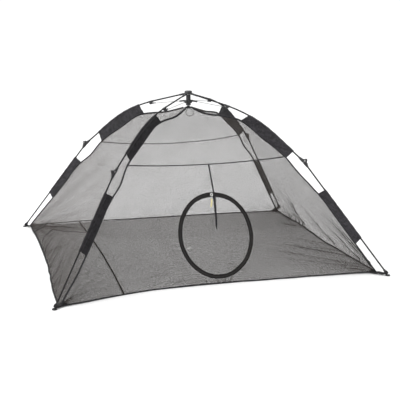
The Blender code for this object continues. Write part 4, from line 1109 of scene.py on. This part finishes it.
def tie_strap():
    n = 40
    k = np.linspace(0, 1, n)
    s = 0.1990 + (0.0300 - 0.1990) * k
    x = 0.0140 + (0.0087 - 0.0140) * k + 0.0016 * np.sin(5.0 * k + 0.4) * k
    out = 0.0030 + 0.0022 * np.sin(3.6 * k) + 0.0012 * np.sin(11 * k + 0.5)
    line = np.array([on_port(a, b, c) for a, b, c in zip(x, s, out)])
    twist = np.array([np.array(SLOPE_OUT) + 0.30 * math.sin(3.2 * t + 0.3) * np.array([1.0, 0, 0]) for t in k])
    widths = (0.0160 - 0.0060 * k) * (1 - 0.55 * smoothstep(k, 0.80, 1.0))
    ribbon("tie_strap_webbing", line, widths, 0.0012, WEBBING, "port_flap", twist, ["tie_strap"])
    # its sewn anchor at the top
    line = np.array([on_port(0.0145, s_, 0.0036) for s_ in (0.2135, 0.2100, 0.2060, 0.2020, 0.1985)])
    v, f, c = sweep(line, flat_section(0.0175, 0.0016), ups=np.tile(np.array(SLOPE_OUT), (5, 1)))
    add(joined([(v, f, c, 0)], "tie_anchor"), "tie_anchor", WEBBING, "port", 40)


tie_strap()


def yellow_tag():
    k = np.linspace(0, 1, 24)
    s = 0.2010 + (0.1550 - 0.2010) * k
    x = -0.0020 + (-0.0090 + 0.0020) * k + 0.0010 * np.sin(5 * k)
    line = np.array([on_port(a, b, 0.0026 + 0.0035 * math.sin(2.6 * t)) for a, b, t in zip(x, s, k)])
    twist = np.array([np.array(SLOPE_OUT) + 0.45 * math.sin(2.5 * t) * np.array([1.0, 0, 0]) for t in k])
    ribbon("ribbon_tag", line, np.full(24, 0.0100), 0.0006, TAG, "zip_slider", twist)


yellow_tag()


def bevelled(o, width, segments=2, angle=32):
    mod = o.modifiers.new("bevel", "BEVEL")
    mod.width, mod.segments, mod.limit_method, mod.angle_limit = width, segments, "ANGLE", math.radians(angle)
    mod.use_clamp_overlap = True
    return o


# ---------------------------------------------------------------- solids of the moulded parts


def to_mesh(bm, name="shape"):
    bmesh.ops.recalc_face_normals(bm, faces=bm.faces)
    mesh = bpy.data.meshes.new(name)
    bm.to_mesh(mesh)
    bm.free()
    return mesh


def cylinder(p0, p1, radius, sides=32, radius2=None):
    a, b = Vector(p0), Vector(p1)
    d = b - a
    bm = bmesh.new()
    bmesh.ops.create_cone(bm, cap_ends=True, cap_tris=False, segments=sides, radius1=radius,
                          radius2=radius if radius2 is None else radius2, depth=d.length)
    bmesh.ops.transform(bm, matrix=Matrix.Translation((a + b) / 2) @ d.to_track_quat("Z", "Y").to_matrix().to_4x4(), verts=bm.verts)
    return to_mesh(bm)


def turned(profile, sides, closed):
    bm = bmesh.new()
    verts = [bm.verts.new((r, 0, z)) for r, z in profile]
    edges = [bm.edges.new((verts[i], verts[i + 1])) for i in range(len(verts) - 1)]
    if closed:
        edges.append(bm.edges.new((verts[-1], verts[0])))
    bmesh.ops.spin(bm, geom=verts + edges, cent=(0, 0, 0), axis=(0, 0, 1), angle=math.tau, steps=sides, use_merge=True)
    bmesh.ops.remove_doubles(bm, verts=bm.verts, dist=1e-6)
    return to_mesh(bm)


def spindle(start, along, stations, sides=32):
    """A closed round bar from start; stations are (distance, radius) pairs along the (r, z) direction."""
    m = turned([(0, stations[0][0])] + [(r, s) for s, r in stations] + [(0, stations[-1][0])], sides, False)
    m.transform(Matrix.Translation((start[0], 0, start[1])) @ Vector((along[0], 0, along[1])).to_track_quat("Z", "Y").to_matrix().to_4x4())
    return m


def prism(points, t0, t1, frame_=None):
    bm = bmesh.new()
    face = bm.faces.new([bm.verts.new((r, t0, z)) for r, z in points])
    grown = bmesh.ops.extrude_face_region(bm, geom=[face])
    bmesh.ops.translate(bm, verts=[v for v in grown["geom"] if isinstance(v, bmesh.types.BMVert)], vec=(0, t1 - t0, 0))
    if frame_ is not None:
        bmesh.ops.transform(bm, matrix=frame_, verts=bm.verts)
    return to_mesh(bm)


def circle(centre, radius, n=28):
    return [(centre[0] + radius * math.cos(math.tau * i / n), centre[1] + radius * math.sin(math.tau * i / n)) for i in range(n)]


def hull(points):
    pts = sorted(set((round(float(x), 7), round(float(y), 7)) for x, y in points))

    def half(seq):
        out = []
        for p in seq:
            while len(out) > 1 and ((out[-1][0] - out[-2][0]) * (p[1] - out[-2][1]) - (out[-1][1] - out[-2][1]) * (p[0] - out[-2][0])) <= 0:
                out.pop()
            out.append(p)
        return out
    a, b = half(pts), half(pts[::-1])
    return a[:-1] + b[:-1]


def combined(base, others, operation):
    o = bpy.data.objects.new("base", base)
    scene.collection.objects.link(o)
    tools = []
    for m in others:
        t = bpy.data.objects.new("tool", m)
        scene.collection.objects.link(t)
        mod = o.modifiers.new("join", "BOOLEAN")
        mod.operation, mod.object, mod.solver = operation, t, "EXACT"
        tools.append(t)
    bpy.context.view_layer.update()
    out = bpy.data.meshes.new_from_object(o.evaluated_get(bpy.context.evaluated_depsgraph_get()))
    for t in tools + [o]:
        bpy.data.objects.remove(t, do_unlink=True)
    return out


def moulded(mesh, name, mat, body, nodes, frame_=None, bevel=0.0004, angle=32):
    m = mesh.copy()
    if frame_ is not None:
        m.transform(frame_)
    o = add(m, name, mat, body, 35)
    if bevel:
        bevelled(o, bevel, 2, angle)
    if nodes:
        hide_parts(*nodes)
    return o


# ================================================================ hub
ROD_HOLE_R = 0.0045
CAP_R, CAP_LOW, CAP_TOP = 0.0222, 0.9602, 0.9740
TUBE_OUT, TUBE_IN, TUBE_LOW, TUBE_TOP = 0.0136, 0.0110, 0.8880, 0.9594
RUNNER_LOW, RUNNER_TOP = 0.8990, 0.9185
WIRE_RING_R = 0.02425

cap = turned([(0, CAP_LOW), (CAP_R - 0.0012, CAP_LOW), (CAP_R, CAP_LOW + 0.0012), (CAP_R, CAP_TOP - 0.0055), (CAP_R - 0.0008, CAP_TOP - 0.0036),
              (CAP_R - 0.0024, CAP_TOP - 0.0020), (CAP_R - 0.0050, CAP_TOP - 0.0008), (CAP_R - 0.0090, CAP_TOP - 0.0002),
              (CAP_R - 0.0100, CAP_TOP - 0.0009), (CAP_R - 0.0110, CAP_TOP - 0.0002), (0, CAP_TOP)], 72, False)
extra = [cylinder((0, 0, TUBE_TOP - 0.016), (0, 0, CAP_LOW + 0.002), TUBE_IN - 0.0004, 32)]
for name in POLES:
    outline = hull([(0.0144, CAP_LOW + 0.001), (0.0210, CAP_LOW + 0.001), (0.0144, CAP_LOW - 0.006)] + circle(HUB_PIVOT, 0.0046, 18))
    for t0, t1 in ((0.0054, 0.0080), (-0.0080, -0.0054)):
        extra.append(prism(outline, t0, t1, turn(name)))
moulded(combined(cap, extra, "UNION"), "cap_moulding", CAP_PLASTIC, "cabin", ["hub_cap"])

wire = [(WIRE_RING_R * math.cos(a), WIRE_RING_R * math.sin(a), HUB_PIVOT[1]) for a in np.linspace(0, math.tau, 96, endpoint=False)]
v, f, c = sweep(wire, ring_section(0.0011, 10), closed=True)
o = add(joined([(v, f, c, 0)], "wire_ring"), "wire_ring", STEEL, "cabin", 0)
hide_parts("hub_wire")

moulded(turned([(TUBE_OUT, TUBE_LOW + 0.003), (TUBE_OUT, 0.9570), (TUBE_OUT - 0.0006, 0.9586), (TUBE_OUT - 0.0006, TUBE_TOP), (TUBE_IN, TUBE_TOP),
                (TUBE_IN, TUBE_LOW), (0.0156, TUBE_LOW), (0.0156, TUBE_LOW + 0.003)], 64, True),
        "tube_moulding", PLASTIC, "cabin", ["hub_tube"])

collar = turned([(0.0140, RUNNER_LOW), (0.0186, RUNNER_LOW), (0.0196, RUNNER_LOW + 0.001), (0.0200, RUNNER_LOW + 0.005),
                 (0.0196, RUNNER_LOW + 0.0065), (0.0165, RUNNER_LOW + 0.008), (0.0165, RUNNER_TOP - 0.0035), (0.0172, RUNNER_TOP - 0.0030),
                 (0.0172, RUNNER_TOP - 0.0008), (0.0162, RUNNER_TOP), (0.0140, RUNNER_TOP)], 72, True)
lugs = []
for name in POLES:
    outline = hull([(0.0050, RUNNER_LOW + 0.004), (0.0165, RUNNER_LOW + 0.004), (0.0050, RUNNER_TOP - 0.001)] + circle(RUNNER_PIVOT, 0.0042, 18))
    stub = cylinder(at(RUNNER_PIVOT, 0.0058), at(RUNNER_PIVOT, 0.0136), 0.0015, 14)
    stub.transform(turn(name))
    lugs += [prism(outline, 0.0126, 0.0156, turn(name)), stub]
collar = combined(combined(collar, lugs, "UNION"), [cylinder((0, 0, RUNNER_LOW - 0.01), (0, 0, RUNNER_TOP + 0.01), 0.0140, 72)]
                  + [prism([(0.0166, RUNNER_LOW - 0.002), (0.0300, RUNNER_LOW - 0.002), (0.0300, RUNNER_LOW + 0.0085), (0.0166, RUNNER_LOW + 0.0085)],
                           0.0048, 0.0124, turn(name)) for name in POLES], "DIFFERENCE")
moulded(collar, "runner_moulding", PLASTIC, "runner", ["runner"])

# ================================================================ poles
a, b = np.array(RUNNER_PIVOT), np.array(BRACKET_PIN)
SDIR = (b - a) / np.linalg.norm(b - a)
STRUT_T, MID_T = (0.0060, 0.0120), 0.0090


def spline_rod(points, radius, name, sides=18, resample=60):
    pts = np.asarray(points, float)
    gone = np.concatenate([[0], np.cumsum(np.linalg.norm(np.diff(pts, axis=0), axis=1))])
    even = np.linspace(0, gone[-1], resample)
    pts = np.stack([np.interp(even, gone, pts[:, i]) for i in range(3)], 1)
    ups = np.tile([0.0, 1.0, 0.0], (len(pts), 1))
    v, f, c = sweep(pts, ring_section(radius, sides), ups=ups)
    return joined([(v, f, c, 0)], name)


start = offset(HUB_PIVOT, HUB_DIR, 0.0112)
knee_a = offset(ELBOW, KNEE_UP, -0.0062)
upper_points = [at(start)] + [at(q) for q in UPPER[::4] if start[0] + 0.01 < q[0] < knee_a[0] - 0.01] + [at(knee_a)]
knee_b = offset(ELBOW, LOW_DIR, 0.0062)
foot_end = np.array(FOOT_AXIS_END)
rod_end = offset(foot_end, LOW_DIR, -0.0100)

eye = combined(prism(circle(HUB_PIVOT, 0.0048), -0.0049, 0.0049),
               [spindle(HUB_PIVOT, HUB_DIR, [(0.002, 0.0049), (0.010, 0.0049), (0.0115, 0.0057), (0.0340, 0.0056), (0.036, 0.0050)])], "UNION")
eye = combined(eye, [cylinder(at(HUB_PIVOT, -0.008), at(HUB_PIVOT, 0.008), 0.0018, 20),
                     cylinder(at(offset(HUB_PIVOT, HUB_DIR, 0.0105)), at(offset(HUB_PIVOT, HUB_DIR, 0.060)), ROD_HOLE_R, 28)], "DIFFERENCE")

p, d = on_upper(0.2500)
barrel = cylinder(at(offset(p, d, -0.017)), at(offset(p, d, 0.017)), 0.0056, 32)
lug = prism(hull(circle(BRACKET_PIN, 0.0050) + [tuple(offset(p, d, -0.011, -0.003)), tuple(offset(p, d, 0.011, -0.003))]), -0.0045, 0.0054)
bracket = combined(combined(barrel, [lug], "UNION"), [cylinder(at(offset(p, d, -0.03)), at(offset(p, d, 0.03)), ROD_HOLE_R + 0.0001, 28)], "DIFFERENCE")

strut_inner = prism(hull(circle(a, 0.0050) + circle(offset(a, SDIR, 0.030), 0.0040)), *STRUT_T)
strut_inner = combined(strut_inner, [cylinder(at(a, 0.004), at(a, 0.014), 0.0018, 18)], "DIFFERENCE")
strut_outer = combined(spindle((b[0], b[1]), -SDIR, [(0.001, 0.0040), (0.010, 0.0042), (0.026, 0.0036), (0.0275, 0.0030), (0.030, 0.0032), (0.034, 0.0028)], 20),
                       [prism(hull(circle(b, 0.0056) + circle(offset(b, SDIR, -0.012), 0.0042)), *STRUT_T), cylinder(at(b, 0.0058), at(b, 0.0132), 0.0022, 18)], "UNION")
strut_rod = [at(offset(a, SDIR, 0.020), MID_T), at((a + b) / 2, MID_T), at(offset(b, SDIR, -0.024), MID_T)]

e = np.array(ELBOW)


def knee_half(direction, sign, plates, relief, bosses=()):
    along = np.array(direction)
    socket = spindle(e, along * sign, [(0.0010, 0.0076), (0.0060, 0.0092), (0.0120, 0.0091), (0.0180, 0.0083), (0.0222, 0.0079), (0.0228, 0.0073),
                                       (0.0244, 0.0072), (0.0250, 0.0076), (0.0300, 0.0070), (0.0306, 0.0065), (0.0322, 0.0064), (0.0328, 0.0067),
                                       (0.0372, 0.0062), (0.0380, 0.0058)])
    tabs = [prism(hull(circle(KNEE_PIN, 0.0062) + [tuple(offset(e, KNEE_DIR, sign * 0.0030, 0.0)), tuple(offset(e, KNEE_DIR, sign * 0.0210, 0.0)),
                                                     tuple(offset(e, KNEE_DIR, sign * 0.0210, 0.0040))]), t0, t1) for t0, t1 in plates]
    tabs += [prism(circle(KNEE_PIN, BOSS_R, 36), t0, t1) for t0, t1 in bosses]
    half = combined(socket, tabs, "UNION")
    box = hull([tuple(offset(e, KNEE_DIR, sign * -0.0004, 0.0070)), tuple(offset(e, KNEE_DIR, sign * -0.0004, -0.02)),
                tuple(offset(e, KNEE_DIR, sign * -0.03, 0.0070)), tuple(offset(e, KNEE_DIR, sign * -0.03, -0.02))])
    box = [tuple(offset(q, KNEE_DIR, sign * 0.0008)) for q in box]
    cuts = [prism(box, -0.016, 0.016), cylinder(at(KNEE_PIN, -0.018), at(KNEE_PIN, 0.018), 0.0026, 20),
            cylinder(at(offset(e, along, sign * 0.0052)), at(offset(e, along, sign * 0.045)), ROD_HOLE_R, 28)]
    cuts += [cylinder(at(KNEE_PIN, t0), at(KNEE_PIN, t1), 0.0095, 36) for t0, t1 in relief]
    return combined(half, cuts, "DIFFERENCE")


BOSS_R = 0.0085
elbow_upper = knee_half(KNEE_UP, -1, [(-0.0039, 0.0039)], [(0.00415, 0.0160), (-0.0160, -0.00415)])
elbow_lower = knee_half(LOW_DIR, 1, [(0.0044, 0.0075), (-0.0075, -0.0044)], [(-0.00415, 0.00415)], [(0.0070, 0.0106), (-0.0106, -0.0070)])
# the small latch lever on the lower half
latch_root = offset(e, LOW_DIR, 0.0165, 0.0082)
latch = prism(hull([tuple(offset(latch_root, LOW_DIR, -0.004)), tuple(offset(latch_root, LOW_DIR, 0.006)), tuple(offset(latch_root, LOW_DIR, 0.0105, 0.0048)),
                    tuple(offset(latch_root, LOW_DIR, 0.0085, 0.0058))]), -0.0030, 0.0030)


def rivet(centre, t0, t1, radius, head_r, head_h):
    m = turned([(0, 0), (radius, 0), (radius, t1 - t0), (head_r, t1 - t0), (head_r, t1 - t0 + head_h * 0.5), (head_r * 0.85, t1 - t0 + head_h * 0.85),
                (head_r * 0.5, t1 - t0 + head_h), (0, t1 - t0 + head_h)], 28, False)
    m.transform(Matrix.Translation(at(centre, t0)) @ Matrix.Rotation(-math.pi / 2, 4, "X"))
    return m


pin = combined(rivet(KNEE_PIN, -0.0116, 0.0110, 0.0022, 0.0046, 0.0014), [cylinder(at(KNEE_PIN, -0.0124), at(KNEE_PIN, -0.0110), 0.0046, 28)], "UNION")
foot_mesh = combined(turned([(0, 0.0), (0.0118, 0.0), (0.0130, 0.0010), (0.0128, 0.0042), (0.0116, 0.0060), (0, 0.0066)], 48, False),
                     [], "UNION")
foot_mesh.transform(Matrix.Translation((FOOT_R, 0, 0)))
foot_mesh = combined(foot_mesh, [spindle(foot_end, LOW_DIR, [(-0.0300, 0.0057), (-0.0294, 0.0065), (-0.0270, 0.0066), (-0.0264, 0.0063), (-0.0060, 0.0071),
                                                      (0.0, 0.0072)])], "UNION")
foot_mesh = combined(foot_mesh, [cylinder(at(offset(foot_end, LOW_DIR, -0.060)), at(offset(foot_end, LOW_DIR, -0.0093)), ROD_HOLE_R, 28)], "DIFFERENCE")


# ---------------------------------------------------------------- sleeves
def sleeve(outer_points, outer_dirs, inner_points, name, seed, n_half=16, lean=None):
    """Doubled cloth that wraps the rod and runs to the cabin's edge."""
    n = len(outer_points)
    rings, coords = [], []
    for i in range(n):
        k = i / (n - 1)
        o_, i_ = np.array(outer_points[i]), np.array(inner_points[i])
        d_ = np.array(outer_dirs[i])
        w = i_ - o_
        # the part near the rod leaves it square, and the rest turns to the station's slant
        length = float(np.linalg.norm(w))
        w = w / length
        radius = 0.0070 + 0.0005 * math.sin(37 * k + seed) + 0.0003 * math.sin(83 * k + 2 * seed)
        ss = np.concatenate([-radius * np.cos(np.linspace(0, math.pi * 0.62, 8)), np.linspace(radius * 0.9, length, n_half + 1)[1:]])
        loop = []
        for s in ss:
            q = s / length
            if s < radius * 0.37:
                half = math.sqrt(max(radius ** 2 - s ** 2, 0.0))
            else:
                fall = math.exp(-((s - radius * 0.37) / 0.0042) ** 1.4)
                puff = 0.0016 + 0.0028 * math.sin(math.pi * min(1.0, q)) * (0.65 + 0.35 * math.sin(21 * k + 3 * q + seed))
                half = radius * 0.93 * fall + puff * (1 - fall)
            loop.append((s, max(half, 0.0)))
        wander, edge_t = 0.0026 * math.sin(9 * k + seed), 0.0 if lean is None else float(lean[i])
        pts, cs = [], []
        for sign, seq in ((1, loop), (-1, loop[::-1])):
            for s, half in seq:
                if sign == -1 and s == loop[0][0]:
                    continue
                q = max(0.0, s / length)
                ripple = 0.0011 * math.sin(46 * k + 10 * q * (1 if sign > 0 else 1.3) + seed * sign) * math.sin(math.pi * min(1, q)) \
                    + 0.0008 * math.sin(97 * k - 14 * q + sign)
                sway = wander * math.sin(math.pi * min(1.0, q)) + edge_t * min(1.0, q) if q > 0 else 0.0
                base = o_ + w * s
                pts.append((base[0], sway + sign * (half + (ripple if q > 0.12 else 0.0)), base[1]))
                cs.append((s, k * length * 6, 1.0 if (0.0085 < s < 0.0125 or length - s < 0.0065) else 0.0))
        rings.append(pts)
        coords.append(cs)
    m = len(rings[0])
    verts = [p_ for r_ in rings for p_ in r_]
    cc = [p_ for r_ in coords for p_ in r_]
    faces = [(i * m + j, i * m + (j + 1) % m, (i + 1) * m + (j + 1) % m, (i + 1) * m + j) for i in range(n - 1) for j in range(m)]
    faces += [tuple(range(m))[::-1], tuple((n - 1) * m + j for j in range(m))]
    mesh = made(verts, faces, cc, name)
    return fix_normals(mesh)


# where each sleeve starts and ends, as r on the rod and r on the cabin's edge
UPPER_SLEEVES = {"A": ((0.3334, 0.6247), (0.2992, 0.6062)), "B": ((0.3372, 0.6138), (0.2874, 0.5826)),
                 "C": ((0.3849, 0.6572), (0.3366, 0.6180)), "D": ((0.3975, 0.6740), (0.3543, 0.6141))}
LOWER_SLEEVES = {"A": ((0.8043, 1.0145), (0.7637, 0.9940)), "B": ((0.8030, 1.0221), (0.7617, 0.9940)),
                 "C": ((0.8508, 1.0686), (0.8129, 1.0432)), "D": ((0.8900, 1.1150), (0.8326, 1.0700))}


def upper_sleeve_mesh(seed, name):
    n = 40
    outer, dirs = [], []
    for r in np.linspace(*UPPER_SLEEVES[name][0], n):
        p_, d_ = on_upper(r)
        outer.append(p_)
        dirs.append(d_)
    rr = np.linspace(*UPPER_SLEEVES[name][1], n)
    inner = [(r, float(ridge_height(r)) + float(rise(name, r)) + 0.0015) for r in rr]
    return sleeve(outer, dirs, inner, "upper_sleeve_cloth", seed)


def lower_sleeve_mesh(seed, name):
    n = 36
    outer = [offset(e, LOW_DIR, (r - ELBOW[0]) / LOW_DIR[0]) for r in np.linspace(*LOWER_SLEEVES[name][0], n)]
    rr = np.linspace(*LOWER_SLEEVES[name][1], n)
    inner = [(r, float(ridge_height(r)) + float(rise(name, r)) + 0.0015) for r in rr]
    z = np.array([q[1] for q in inner])
    lean = LEAN[name] * smoothstep(z, 0.02, 0.16) * (1 - smoothstep(z, 0.50, 0.64))
    return sleeve(outer, [LOW_DIR] * n, inner, "lower_sleeve_cloth", seed, lean=lean)


def corner_strap(name):
    """Webbing from the cabin's corner down to the foot, and a loop of it round the foot's socket."""
    parts = []
    front = name in "BC"
    back_turn = turn(name).inverted()
    corner = back_turn @ Vector(CORNER_AT[name])
    centre = offset(foot_end, LOW_DIR, -0.0095)
    up_ = np.array([-LOW_DIR[1], 0, LOW_DIR[0]])
    radius = 0.0092
    start, end = np.array(corner) * (0.968, 1, 1) + (0, 0, 0.0036), np.array(at(centre)) - up_ * radius * 0.9 + (0, 0, -0.0010)
    k = np.linspace(0, 1, 17)
    line = start + (end - start) * k[:, None]
    sag, wave = (0.0 if front else -0.0040), (0.0012 if front else 0.0022)
    line[:, 2] = start[2] + (end[2] - start[2]) * k + sag * np.sin(math.pi * k) + wave * np.sin(13 * k) * np.sin(math.pi * k)
    line[:, 2] = np.maximum(line[:, 2], 0.0048)
    width, thick = (0.0300, 0.0092) if front else (0.0240, 0.0066)
    widths = width - (width - 0.0190) * k ** 1.2
    v, f, c = sweep(line, [flat_section(w, thick - 0.0010 * t) for w, t in zip(widths, k)], ups=np.tile([0.0, 0.0, 1.0], (17, 1)))
    parts.append((v, f, c, 0))
    side = np.array([0.0, 1.0, 0.0])
    around = np.linspace(0, math.tau, 48, endpoint=False)
    radial = np.array([side * math.cos(t) + up_ * math.sin(t) for t in around])
    v, f, c = sweep(np.array(at(centre)) + radial * radius, flat_section(0.0170 if front else 0.0120, 0.0026 if front else 0.0018), closed=True, ups=radial)
    parts.append((v, f, c, 0))
    # two rows of stitching
    for t in (-0.0080, 0.0080):
        row = line[:8] + (0, t, thick / 2 + 0.0001)
        v, f, c = sweep(row, ring_section(0.0004, 5), ups=np.tile([0.0, 0.0, 1.0], (8, 1)))
        parts.append((v, f, c, 1))
    m = joined(parts, "corner_strap_" + name)
    m.transform(turn(name))
    o = add(m, "corner_strap_" + name, [STRAP, CORD], "lower_pole_" + name, 40)
    return o


for index, name in enumerate(POLES):
    t = turn(name)
    up_body, low_body = "upper_pole_" + name, "lower_pole_" + name
    moulded(spline_rod(upper_points, ROD_R, "rod", 20, 90), "upper_rod_fibre_" + name, ROD, up_body, ["upper_rod_" + name], t, 0)
    moulded(eye, "hub_eye_moulding_" + name, PLASTIC, up_body, ["hub_eye_" + name], t)
    moulded(bracket, "strut_bracket_moulding_" + name, PLASTIC, up_body, ["strut_bracket_" + name], t)
    # the elbows of poles B and D take the darker plastic copy: painted shade
    moulded(elbow_upper, "elbow_upper_moulding_" + name, PLASTIC if name in "AC" else PLASTIC_SHADED, up_body, ["elbow_upper_" + name], t, 0.00035)
    moulded(elbow_lower, "elbow_lower_moulding_" + name, PLASTIC if name in "AC" else PLASTIC_SHADED, low_body, ["elbow_lower_" + name], t, 0.00035)
    moulded(latch, "elbow_latch_" + name, PLASTIC, low_body, [], t, 0.0006)
    moulded(pin, "elbow_rivet_" + name, STEEL, low_body, ["elbow_pin_" + name], t, 0)
    moulded(spline_rod([at(knee_b), at((knee_b + rod_end) / 2), at(rod_end)], ROD_R, "rod", 20, 40), "lower_rod_fibre_" + name, ROD, low_body,
            ["lower_rod_" + name], t, 0)
    moulded(foot_mesh, "foot_moulding_" + name, PLASTIC, low_body, ["foot_" + name], t)
    moulded(strut_inner, "strut_eye_" + name, PLASTIC, "strut_" + name, [], t, 0.0003)
    moulded(strut_outer, "strut_ferrule_" + name, PLASTIC, "strut_" + name, [], t, 0.0003)
    moulded(spline_rod(strut_rod, 0.0019, "rod", 14, 24), "strut_wire_" + name, STRUT, "strut_" + name, ["strut_" + name], t, 0)
    for stem, mesh_, body_, flat in (("upper_sleeve", upper_sleeve_mesh(1.3 + 1.7 * index, name), up_body, (0.105, 0.345)),
                                     ("lower_sleeve", lower_sleeve_mesh(0.4 + 2.1 * index, name), low_body, (0.105, 0.340))):
        mesh_.transform(t)
        # the sleeves of poles B and D take the darker nylon copy: painted shade
        o = add(mesh_, f"{stem}_cloth_{name}", NYLON_SHADED if name in "BD" else NYLON, body_, 60)
        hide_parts(f"{stem}_{name}")
    corner_strap(name)

# ================================================================ zip slider, puller, pull cord
body_ = prism([(x + 0.012, s) for x, s in ((-0.0045, PORT_B - 0.006), (0.0045, PORT_B - 0.006), (0.0052, PORT_B + 0.002), (0.0030, PORT_B + 0.007),
                                          (-0.0030, PORT_B + 0.007), (-0.0052, PORT_B + 0.002))], 0.0018, 0.0054, PORT_FRAME)
bridge = prism([(0.0100, PORT_B - 0.003), (0.0140, PORT_B - 0.003), (0.0140, PORT_B + 0.003), (0.0100, PORT_B + 0.003)], 0.0050, 0.0072, PORT_FRAME)
moulded(combined(body_, [bridge], "UNION"), "slider_body", ZIP, "zip_slider", ["zip_slider"], None, 0.0004)
loop_pts = []
for k in np.linspace(0, 1, 44):
    ang = math.tau * k
    loop_pts.append(on_port(-0.0010 + 0.0056 * math.cos(ang), PORT_B - 0.0062 + 0.0072 * math.sin(ang) * (1 + 0.2 * math.cos(ang)), 0.0084 - 0.0014 * math.sin(ang)))
v, f, c = sweep(np.array(loop_pts[:-1]), ring_section(0.0022, 10), closed=True, ups=np.tile(np.array(SLOPE_OUT), (43, 1)))
o = add(joined([(v, f, c, 0)], "puller_loop"), "puller_loop", PULL, "zip_slider", 0)

ROUTE = [(-0.0040, 0.8876), (-0.0048, 0.8760), (-0.0090, 0.8600), (-0.0150, 0.8460), (-0.0130, 0.8330), (0.0000, 0.8240),
         (0.0170, 0.8240), (0.0290, 0.8320), (0.0310, 0.8440), (0.0230, 0.8560), (0.0120, 0.8670), (0.0055, 0.8770), (0.0045, 0.8876)]
q = np.array([2 * np.array(ROUTE[0]) - ROUTE[1], *ROUTE, 2 * np.array(ROUTE[-1]) - ROUTE[-2]])
loop = []
for i in range(1, len(q) - 2):
    for s in np.linspace(0, 1, 12, endpoint=False):
        a0, a1, a2, a3 = q[i - 1], q[i], q[i + 1], q[i + 2]
        loop.append(0.5 * (2 * a1 + (a2 - a0) * s + (2 * a0 - 5 * a1 + 4 * a2 - a3) * s * s + (3 * a1 - a0 - 3 * a2 + a3) * s ** 3))
loop = np.array(loop + [q[-2]])
gone = np.concatenate([[0], np.cumsum(np.linalg.norm(np.diff(loop, axis=0), axis=1))])
n = int(gone[-1] / 0.0026) + 1
even = np.stack([np.interp(np.linspace(0, gone[-1], n), gone, loop[:, k]) for k in range(2)], 1)
curve = bpy.data.curves.new("pull_cord_line", "CURVE")
curve.dimensions = "3D"
curve.bevel_depth, curve.bevel_resolution, curve.use_fill_caps = 0.0014, 4, True
sp = curve.splines.new("POLY")
sp.points.add(n - 1)
for pt, (x, z) in zip(sp.points, even):
    pt.co = (x, 0.0, z, 1)
curve.materials.append(CORD)
cord_ob = bpy.data.objects.new("pull_cord_line", curve)
scene.collection.objects.link(cord_ob)
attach(cord_ob, "cabin")
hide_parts("pull_cord")

coarse_n = int(gone[-1] / 0.0058) + 1
coarse = np.stack([np.interp(np.linspace(0, gone[-1], coarse_n), gone, loop[:, k]) for k in range(2)], 1)
mid = int(np.argmin(coarse[:, 1] + 0.3 * abs(coarse[:, 0] - 0.0085)))
dd = coarse[mid + 1] - coarse[mid - 1]
dd = dd / np.linalg.norm(dd)
cc = coarse[mid]
bead = turned([(0.0021, -0.0032), (0.0028, -0.0032), (0.0034, -0.0024), (0.0034, 0.0024), (0.0028, 0.0032), (0.0021, 0.0032)], 28, True)
bead.transform(Matrix.Translation(at(cc)) @ Vector(at(dd)).to_track_quat("Z", "Y").to_matrix().to_4x4())
stop = moulded(bead, "cord_stop_bead", PLASTIC, "cabin", ["cord_stop"], None, 0.0003)

# ================================================================ stage and light
floor_mat = Nodes("studio_floor")
spots = floor_mat.noise(floor_mat.objects(), 3.0, 3.0)
floor_mat.set(Base_Color=floor_mat.mix(spots, (0.955, 0.955, 0.955), (0.970, 0.970, 0.970)), Roughness=0.95)
v = [(-30, -30, -0.0004), (30, -30, -0.0004), (30, 60, -0.0004), (-30, 60, -0.0004)]
ground = add(made(v, [(0, 1, 2, 3)], None, "studio_floor"), "studio_floor", floor_mat.mat)

# a white sweep behind, above and to the left, darker towards the room in front and to the right
world = bpy.data.worlds.new("studio")
world.use_nodes = True
sky = world.node_tree
around = sky.nodes.new("ShaderNodeTexCoord")
part = sky.nodes.new("ShaderNodeSeparateXYZ")
sky.links.new(around.outputs["Generated"], part.inputs[0])
away = sky.nodes.new("ShaderNodeVectorMath")
away.operation = "DOT_PRODUCT"
away.inputs[1].default_value = (0.72, -0.69, 0.0)
sky.links.new(around.outputs["Generated"], away.inputs[0])
level = []
for value_, ramp in ((away.outputs["Value"], (0.05, 0.85, 1.05, 0.12)), (part.outputs[2], (0.15, 0.85, 0.0, 1.0))):
    n = sky.nodes.new("ShaderNodeMapRange")
    sky.links.new(value_, n.inputs["Value"])
    for i, value in zip((1, 2, 3, 4), ramp):
        n.inputs[i].default_value = value
    level.append(n.outputs["Result"])
top = sky.nodes.new("ShaderNodeMix")
sky.links.new(level[1], top.inputs["Factor"])
sky.links.new(level[0], top.inputs[2])
top.inputs[3].default_value = 1.30
back = sky.nodes["Background"]
back.inputs["Color"].default_value = (1, 1, 1, 1)
sky.links.new(top.outputs[0], back.inputs["Strength"])
scene.world = world
scene.view_settings.view_transform = "Standard"
scene.view_settings.look = "None"


def lamp(name, place, target, size, power):
    data = bpy.data.lights.new(name, "AREA")
    data.shape, data.size, data.energy = "DISK", size, power
    o = bpy.data.objects.new(name, data)
    scene.collection.objects.link(o)
    o.location = place
    o.rotation_mode = "QUATERNION"
    o.rotation_quaternion = (Vector(target) - Vector(place)).to_track_quat("-Z", "Y")
    return o


lamp("key_light", (-1.6, 1.6, 4.6), (0, 0, 0.3), 3.0, 60)
lamp("fill_light", (-3.4, -2.2, 2.6), (0, 0, 0.3), 2.4, 22)

bpy.context.view_layer.update()
